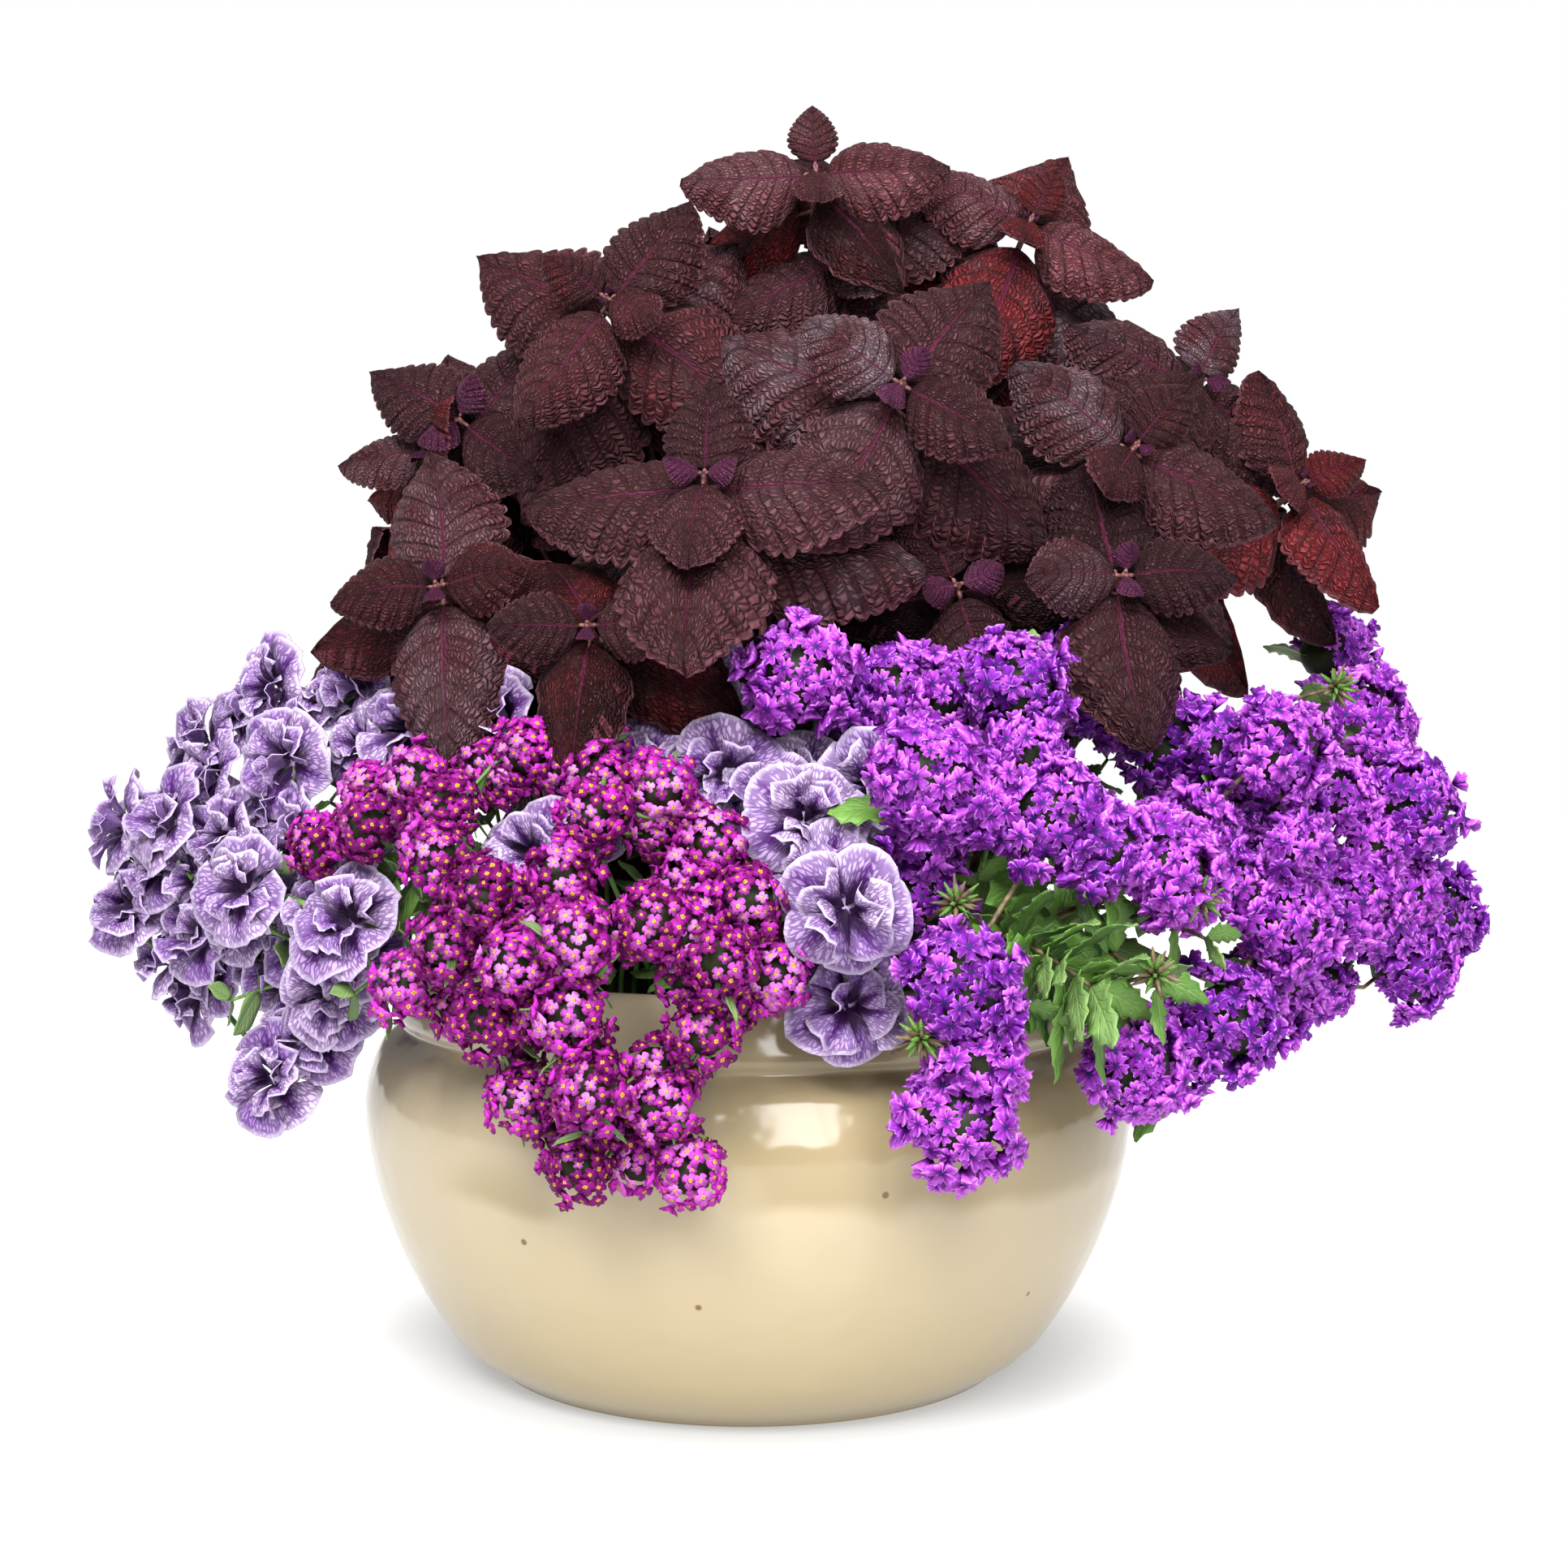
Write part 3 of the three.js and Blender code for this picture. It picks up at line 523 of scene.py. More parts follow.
@lru_cache
def quilted_blade(rows, columns):
    """A blade of length 1: along, across and lift of its points, and their places on it."""
    s = np.linspace(0, 1, rows + 1)[:, None]
    v = np.linspace(-1, 1, columns + 1)[None, :]
    reach = np.abs(v)
    on_rib, on_edge = s**1.25, 1 - (1 - s)**1.5
    half = BLADE["half"] * np.sin(math.pi * on_edge**0.72).clip(0.0002, 1)**0.72
    in_scallop = np.arange(rows + 1) % ROWS_IN_SCALLOP / ROWS_IN_SCALLOP
    scallop = np.sin(math.pi * in_scallop)[:, None]**0.5
    half = half * (1 - BLADE["scallop"] + BLADE["scallop"] * scallop) + 0.002
    along = BLADE["stalk"] + (1 - BLADE["stalk"]) * (on_rib + (on_edge - on_rib) * reach**1.2)
    between = np.abs(np.sin(math.pi * s * LATERALS))  # 0 on a side vein
    stagger = 0.5 * (np.floor(s * LATERALS) % 2)
    cells = np.abs(np.sin(math.pi * (reach * columns / 4 + stagger)))
    fade = np.sin(math.pi * s.clip(0.02, 0.98))**0.5
    quilt = BLADE["quilt"] * between**0.7 * reach.clip(0, 0.8)**0.5
    lift = fade * (quilt + BLADE["cell"] * cells * between)
    lift = lift - BLADE["rib"] * np.exp(-((reach / 0.08)**2)) - BLADE["hem"] * reach**8
    lift = lift + BLADE["arch"] * fade * np.sin(math.pi * reach**0.8) - BLADE["edge"] * reach**3
    grids = np.broadcast_arrays(along, half * v, lift, s, v)
    return [grid.ravel() for grid in grids]


def add_coleus_leaf(sheaf, leaf, random, tone, fold, droop, grid):
    """A blade with its own wave, curl and sway, thick along its rib, on a short stalk."""
    root, along, face, length = leaf
    rows, columns = grid
    t, h, lift, s, v = quilted_blade(rows, columns)
    side = np.cross(face, along)
    waves = s * random.uniform(8, 12) + random.uniform(0, 6) + np.sign(v)
    wave = BLADE["wave"] * np.sin(waves) * v**2
    curl = random.uniform(-0.04, 0.06) * t**3 - 0.22 * np.abs(v)**3 * s * (1 - s) * 0.4
    sway = random.uniform(-0.04, 0.04) * np.sin(math.pi * t)
    lift = lift + wave + curl + fold * 0.04 - fold * np.sqrt(h**2 + 0.0016)
    points = (root + np.outer(t, along) * length + np.outer(h + sway, side) * length
              + np.outer(lift, face) * length - np.outer(droop * t**2, UP) * length)
    thickness = np.outer((0.45 + 0.9 * np.exp(-((v / 0.1)**2))) * MM, face)
    sheaf.add_sheet(points, thickness, np.stack([s, (v + 1) / 2], -1), tone, rows, columns)
    rib = points[columns // 2 + columns + 1] - thickness[0]
    sheaf.add_stem([root, root + along * length * 0.06, rib], [1.3 * MM, 1.1 * MM, 0.6 * MM], 5, 1)


# shade and lit are a leaf's painted shade and painted light
COLEUS_COLOUR = {
    # painted sheen: a grey reflection of the sky painted on some pale, lit leaves
    "shade": (0.008, 0.002, 0.003, 1), "lit": (0.130, 0.042, 0.052, 1), "painted sheen": (0.200, 0.140, 0.165, 1),
    # red is partly a leaf's own and partly painted light shining through it
    "red": (0.10, 0.010, 0.014, 1), "backlit red": (0.22, 0.024, 0.028, 1), "young": (0.19, 0.036, 0.12, 1),
    # painted shade in the sunken net of creases and in the side veins
    "crease_shade": (0.004, 0.001, 0.001, 1), "side vein shade": (0.014, 0.002, 0.004, 1),
    # hem is a painted highlight on the scalloped edge
    "rib": (0.13, 0.018, 0.055, 1), "young rib": (0.32, 0.05, 0.20, 1), "hem": (0.19, 0.07, 0.085, 1),
    "vein underneath": (0.14, 0.03, 0.045, 1), "underneath": (0.06, 0.014, 0.024, 1),
}
QUILT_DEPTH = 2.4 * MM


def coleus_blade_material():
    """Its tone: how pale a leaf is, partly painted light and shade, or past 1 how young, and how red,
    partly painted light through it.
    """
    colour = COLEUS_COLOUR
    made, start = new_material("coleus_leaf")
    along, over = start.sheet_place()
    mine, red_and_backlight, under = start.own_tone()
    reach = start.math("ABSOLUTE", over * 2 - 1)
    half = over.between(0.49, 0.51) * 7  # the two halves have other cells
    cells = {"X": along * 15 + mine * 91, "Y": reach * 11, "Z": half}
    net = start.add("CombineXYZ", (), cells).strayed(0.6, 1.6, 1.2).edges(1.35, 0.7)
    quilt = net.between(0.0, 0.36)
    lateral = (along * LATERALS).from_whole().between(0.0, 0.13)
    rib = reach.between(0.008, 0.05)
    height = (0.3 + 0.7 * quilt) * (0.35 + 0.65 * lateral) * (0.4 + 0.6 * rib)
    crease_shade = net.between(0.13, 0.02)
    patch = start.object_place().noise(45, 3)
    young = mine.between(1.1, 2.0)
    # painted light and shade: from the shaded colour to the lit one, by the leaf's tone
    dark = start.mix(mine, colour["shade"], colour["lit"])
    # painted sheen: a grey reflection of the sky on some of the palest, lit leaves
    dark = start.mix(patch.between(0.4, 0.65) * mine.between(0.55, 0.8), dark, colour["painted sheen"])
    # red: the leaf's own red, with painted light shining through it in patches
    red = start.mix(patch, colour["red"], colour["backlit red"])
    red_and_backlit_share = (red_and_backlight * patch.between(0.2, 0.7) + red_and_backlight * 0.3).between(0.0, 1.0)
    tone = start.mix(red_and_backlit_share, dark, red)
    tone = start.mix(young, tone, colour["young"])
    # painted shade in the creases between the quilted cells
    tone = start.mix(crease_shade * 0.8, tone, colour["crease_shade"])
    # painted shade in the sunken side veins
    tone = start.mix((1 - lateral) * 0.75, tone, colour["side vein shade"])
    rib_tone = start.mix(young, colour["rib"], colour["young rib"])
    tone = start.mix((1 - rib) * 0.8, tone, rib_tone)
    # painted highlight: the scalloped edge is paler, as where it catches the light
    tone = start.mix(reach.between(0.9, 1.0) * 0.45, tone, colour["hem"])
    back = start.mix(quilt, colour["vein underneath"], colour["underneath"])
    tone = start.mix(under * 0.8, tone, back)
    rough = 0.62 - height * 0.2 + patch * 0.1
    sockets = {"Base Color": tone, "Roughness": rough, "Specular IOR Level": 0.14}
    finish_surface(start, sockets, height, 1.0, QUILT_DEPTH)
    return made


def bark(name, dark, light, grain, roughness):
    """The skin of a stem, streaked between two browns."""
    made, start = new_material(name)
    streak = start.object_place().noise(grain, 3)
    tone = streak.ramp((0.3, dark), (0.7, light))
    finish_surface(start, {"Base Color": tone, "Roughness": roughness}, streak, 0.4, 1 * MM)
    return made


COLEUS_FINISH = [  # leaves are 0, stems are 1
    coleus_blade_material(),
    bark("coleus_stem", (0.07, 0.02, 0.025), (0.2, 0.07, 0.06), 180, 0.55),
]
FIRST_AGE = 0.25  # of the youngest leaves that show
BUD_AGE = 0.6  # below this a leaf is small enough for few faces
GROWN_AGE = 1.4  # from here on a leaf has lost its young colour
LAST_AGE = 7.5  # of the oldest leaves, deep in the plant
INNER_HEIGHT = 285 * MM  # below it the oldest ones have dropped
INNER_BEND = {"pitch": 10, "swing": 16, "share": (0.6, 0.85)}
LIT_HEIGHTS = np.array([380, 600]) * MM  # between them the leaves get paler, as painted light on the higher ones
for number, (tip, faces, turn, tip_age, pairs, red_and_backlight) in enumerate(COLEUS, 1):
    random = np.random.default_rng(100 + number)
    points = node_points(f"coleus_{number}")
    tip, axis = np.array(tip) * MM, unit(faces)
    x, y = (tip[:2] - COLEUS_MIDDLE) * ROOT_SPREAD + ROOT_SHIFT
    root = np.array([x, y, soil_height(math.hypot(x, y)) - STEM_DEPTH])
    reach = np.linalg.norm(tip - root)
    stem = bezier(root, root + UP * reach * 0.45, tip - axis * reach * 0.35, tip, COLEUS_STEM["steps"])
    # painted light: leaves higher up get paler tones
    paler = np.interp(tip[2], LIT_HEIGHTS, [0, 0.45])
    sheaf = Sheaf()
    smooth = rounded(stem)
    radii = np.linspace(COLEUS_STEM["foot"], COLEUS_STEM["tip"], len(smooth))
    sheaf.add_stem(smooth, radii, COLEUS_STEM["sides"], 1)
    for pair in range(-1, 9):
        age = tip_age + pair
        inner = pair > pairs
        if not FIRST_AGE <= age <= LAST_AGE:
            continue
        seat = back_from_tip(stem, leaf_setback(age))
        if inner and seat[2] < INNER_HEIGHT:
            continue
        for opposite in (0, 180):
            grow = (axis, seat, turn + 90 * pair + opposite, leaf_pitch(age), leaf_length(age))
            bend = UNBENT
            if inner:
                bend = (random.normal(0, INNER_BEND["pitch"]), random.normal(0, INNER_BEND["swing"]),
                        random.uniform(*INNER_BEND["share"]))
            elif pair > 0:
                bend = bend_in_node(points, grow, DROOP)
                if bend is None:
                    continue
            young = max(0, 1 - age / 2.5)
            # its own red, more when young, and painted backlight, more on the inner leaves
            red = red_and_backlight * random.uniform(0.2, 1.3) + 0.3 * young + 0.35 * inner * random.uniform(0, 1)
            red = min(1, red)
            mine = min(1, random.uniform(0.1, 0.7) + paler) if age > GROWN_AGE else 1.2 + young
            # painted shade: the old leaves deep in the plant get the darkest tones
            if inner:
                mine = random.uniform(0, 0.2)
            grid = COLEUS_GRID["inner" if inner else "bud" if age < BUD_AGE else "grown"]
            add_coleus_leaf(sheaf, leaf_from(*grow, bend), random, (mine, red),
                            FOLD + 0.6 * young * (pair < 1), DROOP + 0.15 * inner, grid)
    sheaf.piece(f"coleus_shoot_{number}", COLEUS_FINISH, [f"coleus_{number}"], "coleus")

# --------------------------------------------------------------------------------- verbena
# Trailing verbena: wiry brown stems that end in domes of small violet flowers, each with
# five notched petals round a dark eye, and toothed green leaves in pairs.

# "stand" is how far out a head's florets are, as a share of its radius.
VERBENA = {"radius": 29 * MM, "stem": 1.7 * MM, "florets": 66, "floret": 7 * MM, "stand": 0.92}
CREST = {"radius": 170 * MM, "height": 226 * MM, "below": 266 * MM}  # where low stems cross the rim
RISE = 22 * MM  # of a stem straight up from the soil
FOOT = {"within": 150 * MM, "near": 1.5 * MM}  # of the bowl's axis, and of the hole's bottom
BEHIND = 0.3  # from a head's middle back to its stem, as a share of its radius
GOLDEN = math.pi * (3 - math.sqrt(5))  # the turn from each floret to the next
DOME = {"wide": 0.9, "front": 0.81, "ring": 62}  # of a CAD head: shares of its radius, degrees
SAME_HEAD = 5 * MM  # centres as near as this are one head
SAME_CORNER = 0.2 * MM
FULL_SPREAD = 1.32  # how far florets reach round a head, where 1 is its front half


def looks(centre):
    """The way a flower head faces: outwards, a little up, and at the front towards it."""
    x, y, _ = centre
    ahead = 0.6 if y < 60 * MM else 0
    return unit([x / math.hypot(x, y), y / math.hypot(x, y) - ahead, 0.35])


def dome_ring(around):
    """The corners that a CAD head of florets has round its front one, in its own directions."""
    turns = np.arange(around) / around * 2 * math.pi
    polar = math.radians(DOME["ring"])
    out, ahead = DOME["wide"] * math.sin(polar), DOME["front"] * math.cos(polar)
    return [np.stack([out * np.cos(turns), out * np.sin(turns), np.full(around, ahead)], -1)]


def heads_in(points, front, rings, radius, least):
    """The centres of a spray's heads, each found by its front corner and the ring round it."""
    centres = []
    for point in points:
        centre = point
        for _ in range(5):
            centre = point - looks(centre) * front * radius
        if any(np.linalg.norm(centre - other) < SAME_HEAD for other in centres):
            continue
        faces = looks(centre)
        axes = np.array([*across(faces), faces])
        for ring in rings:
            corners = centre + radius * ring @ axes
            apart = np.linalg.norm(points[None] - corners[:, None], axis=2).min(axis=1)
            if (apart < SAME_CORNER).sum() >= least:
                centres.append(centre)
                break
    return centres


def foot_in(points):
    """The middle of a stem's end in the soil, from its node's points."""
    rho = np.hypot(points[:, 0], points[:, 1])
    low = abs(points[:, 2] - soil_height(rho) + STEM_DEPTH) < FOOT["near"]
    return points[(rho < FOOT["within"]) & low].mean(axis=0)


def stem_path(foot, first, stops):
    """A stem stands up from the soil, leans out, and crosses the rim where it starts low."""
    way = [foot, foot + UP * (STEM_DEPTH + RISE)]
    if first[2] < CREST["below"]:
        crest = first * CREST["radius"] / math.hypot(first[0], first[1])
        way.append(np.array([crest[0], crest[1], CREST["height"]]))
    return smooth_through([*way, *stops], 6)


def in_order(foot, centres):
    """A spray's heads from its root outwards: the shortest way past them all."""
    def length(order):
        chain = [foot + UP * 80 * MM, *order]
        return sum(np.linalg.norm(b - a) for a, b in zip(chain, chain[1:]))
    return list(min(permutations(centres), key=length))


def between_heads(centres, radius, reach, out, random):
    """Places for smaller heads between two or three neighbours, each with one of these."""
    near = [(i, j) for i, a in enumerate(centres) for j, b in enumerate(centres)
            if i < j and np.linalg.norm(b - a) < reach]
    groups = near + [(*pair, k) for pair in near for k in range(pair[1] + 1, len(centres))
                     if all(np.linalg.norm(centres[k] - centres[i]) < reach for i in pair)]
    places = []
    for group in groups:
        spot = sum(centres[i] for i in group) / len(group)
        spot = spot + looks(spot) * radius * random.uniform(*out) + random.normal(0, 0.1 * radius, 3)
        taken = [*centres, *(place for place, _ in places)]
        if all(np.linalg.norm(spot - other) > 0.85 * radius for other in taken):
            places.append((spot, centres[group[0]]))
    return places


def floret(petals, samples, notch, gap, cone, levels, random):
    """A flower of radius 1 that looks up +Z: points, faces and shares of the radius."""
    count = petals * samples
    angle = np.arange(count) / count * 2 * math.pi
    over = (np.arange(count) / samples + 0.5) % 1 * 2 - 1  # -1 to 1 across a petal
    petal = (np.arange(count) + samples // 2) // samples % petals
    rim = gap + (1 - gap) * np.sqrt(1 - np.abs(over)**3) - notch * np.exp(-((over / 0.3)**2))
    rim = rim * (1 + random.uniform(-0.16, 0.12, petals))[petal]
    bend = random.uniform(-0.3, 0.2, petals)[petal]
    wave = 0.12 * np.sin(3 * over + random.uniform(0, 6, petals)[petal])
    wave = wave + random.uniform(-0.06, 0.06, count)
    points = [[0, 0, -0.05]]
    for level in levels:
        height = level**2 * (bend + wave) + (1 - level) * 0.24 * over**2
        ring = [level * rim * np.cos(angle), level * rim * np.sin(angle), height]
        points += np.stack(ring, -1).tolist()
    points.append([0, 0, -cone])
    rings = [1 + k * count + np.arange(count) for k in range(len(levels))]
    faces = [[0, a, b] for a, b in zip(rings[0], np.roll(rings[0], -1))]
    for inner, outer in zip(rings, rings[1:]):
        faces += np.stack([np.roll(inner, -1), inner, outer, np.roll(outer, -1)], -1).tolist()
    faces += [[len(points) - 1, b, a] for a, b in zip(rings[-1], np.roll(rings[-1], -1))]
    share = np.array([0.0] + [level for level in levels for _ in range(count)] + [0.1])
    return np.array(points), faces, share


def placed(points, centre, normal, spin, size):
    """Points whose Z axis turns to "normal", spun about it, at their place and size."""
    right, up = across(normal if abs(normal[2]) < 0.99 else unit(normal + [0.1, 0, 0]))
    x = right * math.cos(spin) + up * math.sin(spin)
    return centre + size * (points @ np.array([x, np.cross(normal, x), normal]))


def add_head(sheaf, head, centre, templates, random, size=1.0, spread=FULL_SPREAD):
    """Florets over the front of a ball, the middle ones younger, round a core painted dark as shade."""
    faces = unit(looks(centre) + random.normal(0, 0.12, 3))
    right, up = across(faces)
    count = max(8, round(head["florets"] * size**2 * spread / FULL_SPREAD))
    shade = random.uniform(0, 1)
    core = 0.6 * head["radius"] * size
    arc = np.linspace(math.pi, 0, 7)
    # the core, painted near black as the shade inside the head
    sheaf.add_stem([centre + faces * core * math.cos(a) for a in arc],
                   [max(core * math.sin(a), 0.1 * core) for a in arc], 8, 0, (shade, shade, 1))
    for i in range(count):
        level = 1 - (i + 0.5) / count * spread
        polar = math.acos(level) + random.normal(0, 0.05)
        turn = i * GOLDEN + random.normal(0, 0.12)
        flat = right * math.cos(turn) + up * math.sin(turn)
        uneven = random.uniform(0.8, 1.1) - 0.12 * math.sin(5 * turn + shade * 9)
        out = head["radius"] * head["stand"] * size * uneven
        spot = centre + (faces * 0.92 * math.cos(polar) + flat * math.sin(polar)) * out
        look = unit(faces * (math.cos(polar) + 0.12) + flat * math.sin(polar) + random.normal(0, 0.17, 3))
        points, cells, share = templates[random.integers(len(templates))]
        scale = head["floret"] * random.uniform(0.8, 1.15) * (1 - 0.25 * max(0, level)**6)
        sheaf.add(placed(points, spot, look, random.uniform(0, 6.3), scale), cells,
                  np.stack([share, np.full(len(share), level)], -1), (random.uniform(0, 1), shade, 0))


VERBENA_COLOUR = {
    # the deep violets near the eye are partly painted shade
    "blue violet": (0.075, 0.002, 0.17, 1), "red violet": (0.18, 0.004, 0.24, 1),
    # hem is a painted highlight on the petal edges
    "violet": (0.21, 0.016, 0.41, 1), "pink": (0.62, 0.115, 0.82, 1), "hem": (0.84, 0.38, 0.94, 1),
    # core is painted shade inside a head
    "eye": (0.020, 0.004, 0.10, 1), "core": (0.022, 0.030, 0.012, 1),
}
LEAF_VEIN = (0.33, 0.48, 0.17, 1)
LEAF_BACK = (0.25, 0.35, 0.15, 1)


def verbena_petals():
    """Deep near a dark eye, partly painted shade, and brighter outwards with painted highlights at the
    edges. Its tone: floret, head, and 1 for the core.
    """
    colour = VERBENA_COLOUR
    made, start = new_material("verbena_petal")
    share, _ = start.sheet_place()
    mine, head, inside = start.own_tone()
    crumple = start.object_place().noise(420, 2)
    deep = start.mix(head, colour["blue violet"], colour["red violet"])
    age = (mine + head * 0.6 - 0.3).between(0.0, 1.0)
    bright = start.mix(age, colour["violet"], colour["pink"])
    # deep towards the eye: the petals' own deeper colour and painted shade where they meet
    tone = start.mix((share + crumple * 0.5 - 0.25).between(0.3, 1.0), deep, bright)
    # the petals' paler edges, brightened as painted highlights
    hem = share.between(0.85, 1.0) * crumple.between(0.4, 0.6) * 0.7
    tone = start.mix(hem, tone, colour["hem"])
    tone = start.mix(share.between(0.40, 0.2), tone, colour["eye"])
    # painted shade: the core inside a head
    tone = start.mix(inside, tone, colour["core"])
    sockets = {"Base Color": tone, "Roughness": 0.6, "Specular IOR Level": 0.2}
    finish_surface(start, sockets, crumple, 0.4, 1 * MM)
    return made


def green_leaf(name, deep, bright):
    """Clouded green with paler veins that sweep forwards, and paler underneath."""
    made, start = new_material(name)
    along, over = start.sheet_place()
    mine, _, under = start.own_tone()
    reach = start.math("ABSOLUTE", over * 2 - 1)
    vein = (along * 6 - reach * 1.5).from_whole().between(0, 0.14)
    rib = reach.between(0.02, 0.12)
    cloud = start.object_place().noise(70, 3).between(0.35, 0.7)
    tone = start.mix(mine, deep, bright)
    tone = start.mix(cloud * 0.5, tone, deep)
    tone = start.mix((1 - vein * rib) * 0.3, tone, LEAF_VEIN)
    tone = start.mix(under * 0.4, tone, LEAF_BACK)
    sockets = {"Base Color": tone, "Roughness": 0.5}
    finish_surface(start, sockets, vein * 0.5 + rib * 0.5, 0.7, 1 * MM)
    return made


def add_green_leaf(sheaf, leaf, random, finish, width=0.26, teeth=5, tooth=0.4, rows=14, columns=4):
    """A small leaf, toothed or plain, that follows root, along, face and length."""
    root, along, face, length = leaf
    s = np.linspace(0, 1, rows + 1)[:, None]
    v = np.linspace(-1, 1, columns + 1)[None, :]
    half = width * np.sin(math.pi * (0.01 + 0.99 * s)**0.75).clip(0, 1)**0.8
    notch = 1 - tooth * (1 - s * teeth % 1)**0.8 if teeth else 1
    t = s + 0.1 * np.abs(v) * np.sin(math.pi * s)
    h = (half * notch).clip(0.012) * v
    ridge = 0.02 * np.sin(math.pi * teeth * s)**2 * np.abs(v) if teeth else 0
    lift = ridge - 0.2 * np.abs(h) + 0.03 * np.sin(9 * s + random.uniform(0, 6)) * v**2
    t, h, lift, s, v = (grid.ravel() for grid in np.broadcast_arrays(t, h, lift, s, v))
    points = (root + np.outer(t, along) * length + np.outer(h, np.cross(face, along)) * length
              + np.outer(lift, face) * length - np.outer(0.2 * t**2, UP) * length)
    place = np.stack([s, (v + 1) / 2], -1)
    sheaf.add_sheet(points, face * 0.4 * MM, place, (random.uniform(0, 1), 0), rows, columns, finish)


def add_leaves(sheaf, path, count, random, finish, length, pitch=60, first=0.25, **shape):
    """Leaves on all sides of a stem, from a share of its length onwards."""
    for i in range(count):
        at = (first + (1 - first) * (i + random.uniform(0, 1)) / count) * (len(path) - 1)
        k = min(int(at), len(path) - 2)
        seat = path[k] + (path[k + 1] - path[k]) * (at - k)
        grow = (unit(path[k + 1] - path[k]), seat, random.uniform(0, 360), random.normal(pitch, 12),
                length * random.uniform(0.7, 1.15))
        leaf = leaf_from(*grow, UNBENT)
        if leaf[1] @ looks(seat) < 0.25:  # the others would stand through the flowers
            add_green_leaf(sheaf, leaf, random, finish, **shape)


def add_side_stem(sheaf, source, spot, back, sag, radius, finish):
    """A short stem to a smaller head, from behind the head that it branches off."""
    middle = (source + spot) / 2 - UP * sag
    sheaf.add_stem([source - looks(source) * back, middle, spot], radius, 5, finish)


LEAFY_SHOOT = np.array([(112, -178, 234), (128, -196, 228), (146, -208, 216)]) * MM
VERBENA_LEAF = {"teeth": 5, "tooth": 0.42, "width": 0.3}
VERBENA_FINISH = [  # petals are 0, leaves are 1, stems are 2
    verbena_petals(),
    green_leaf("verbena_leaf", (0.055, 0.14, 0.018, 1), (0.15, 0.33, 0.045, 1)),
    bark("verbena_stem", (0.07, 0.05, 0.025), (0.2, 0.15, 0.07), 220, 0.6),
]
VERBENA_NEAR = 84 * MM  # heads as near as this have smaller ones between them
ROUND_LEAFY = 52 * MM  # kept free of them round the leafy shoot
random = np.random.default_rng(7)
verbena_florets = [floret(5, 6, 0.26, 0.3, 1.1, (1,), random) for _ in range(8)]
verbena_heads = []
for number in range(1, 11):
    points = node_points(f"verbena_{number}")
    foot = foot_in(points)
    heads = in_order(foot, heads_in(points, DOME["front"], dome_ring(6), VERBENA["radius"], 4))
    stops = [head - looks(head) * BEHIND * VERBENA["radius"] for head in heads]
    path = stem_path(foot, heads[0], stops)
    sheaf = Sheaf()
    sheaf.add_stem(path, np.linspace(VERBENA["stem"], 1.2 * MM, len(path)), 6, 2)
    for head in heads:
        add_head(sheaf, VERBENA, head, verbena_florets, random)
    add_leaves(sheaf, path, 14, random, 1, 34 * MM, **VERBENA_LEAF)
    verbena_heads += heads
    sheaf.piece(f"verbena_spray_{number}", VERBENA_FINISH, [f"verbena_{number}"], "verbena")
sheaf = Sheaf()
places = between_heads(verbena_heads, VERBENA["radius"], VERBENA_NEAR, (-0.4, 0.15), random)
for spot, source in places:
    if np.linalg.norm(LEAFY_SHOOT - spot, axis=1).min() < ROUND_LEAFY:
        continue
    add_side_stem(sheaf, source, spot, 10 * MM, 6 * MM, 1.1 * MM, 2)
    add_head(sheaf, VERBENA, spot, verbena_florets, random, random.uniform(0.6, 0.85), 1.1)
sheaf.piece("verbena_side_heads", VERBENA_FINISH, [], "verbena")

LEAFY = {"stem": 1.8 * MM, "length": 44 * MM, "pitch": 62, "points": 13}  # that have leaves
random = np.random.default_rng(21)
sheaf = Sheaf()
path = stem_path(foot_in(node_points("verbena_leaves")), LEAFY_SHOOT[0], LEAFY_SHOOT)
sheaf.add_stem(path, np.linspace(LEAFY["stem"], 1 * MM, len(path)), 6, 2)
ahead = np.gradient(path, axis=0)
for k in range(len(path) - LEAFY["points"], len(path), 2):
    for turn in (0, 90, 180, 270):
        grow = (unit(ahead[k]), path[k], turn + random.normal(0, 12), LEAFY["pitch"], LEAFY["length"])
        bend = (random.normal(0, 8), 0, random.uniform(0.7, 1.05))
        add_green_leaf(sheaf, leaf_from(*grow, bend), random, 1, rows=20, **VERBENA_LEAF)
sheaf.piece("verbena_leafy_shoot", VERBENA_FINISH, ["verbena_leaves"], "foliage")

SPENT = np.array([  # heads that have dropped their flowers and keep their green cups
    (88, -212, 252), (196, -188, 252), (172, -214, 222), (277, -92, 342), (72, -232, 198),
]) * MM
CUPS = 26
sheaf = Sheaf()
for spot in SPENT:
    faces = looks(spot)
    right, up = across(faces)
    sheaf.add_stem([spot * (0.86, 0.86, 1) - UP * 12 * MM, spot - faces * 8 * MM, spot], 1 * MM, 5, 2)
    for i in range(CUPS):
        polar, turn = math.acos(1 - i / CUPS * 1.2), i * GOLDEN
        way = faces * math.cos(polar) + (right * math.cos(turn) + up * math.sin(turn)) * math.sin(polar)
        end = spot + way * random.uniform(9, 13) * MM
        sheaf.add_stem([spot, (spot + end) / 2, end], [0.6 * MM, 1.3 * MM, 0.35 * MM], 4, 1 + i % 2)
sheaf.piece("verbena_spent_heads", VERBENA_FINISH, [], "verbena")

# --------------------------------------------------------------------------------- petunia
# Double petunias: a trumpet of five broad petals round a crown of ruffled inner ones, pale at
# the edge, with dark violet veins that run together in the throat.

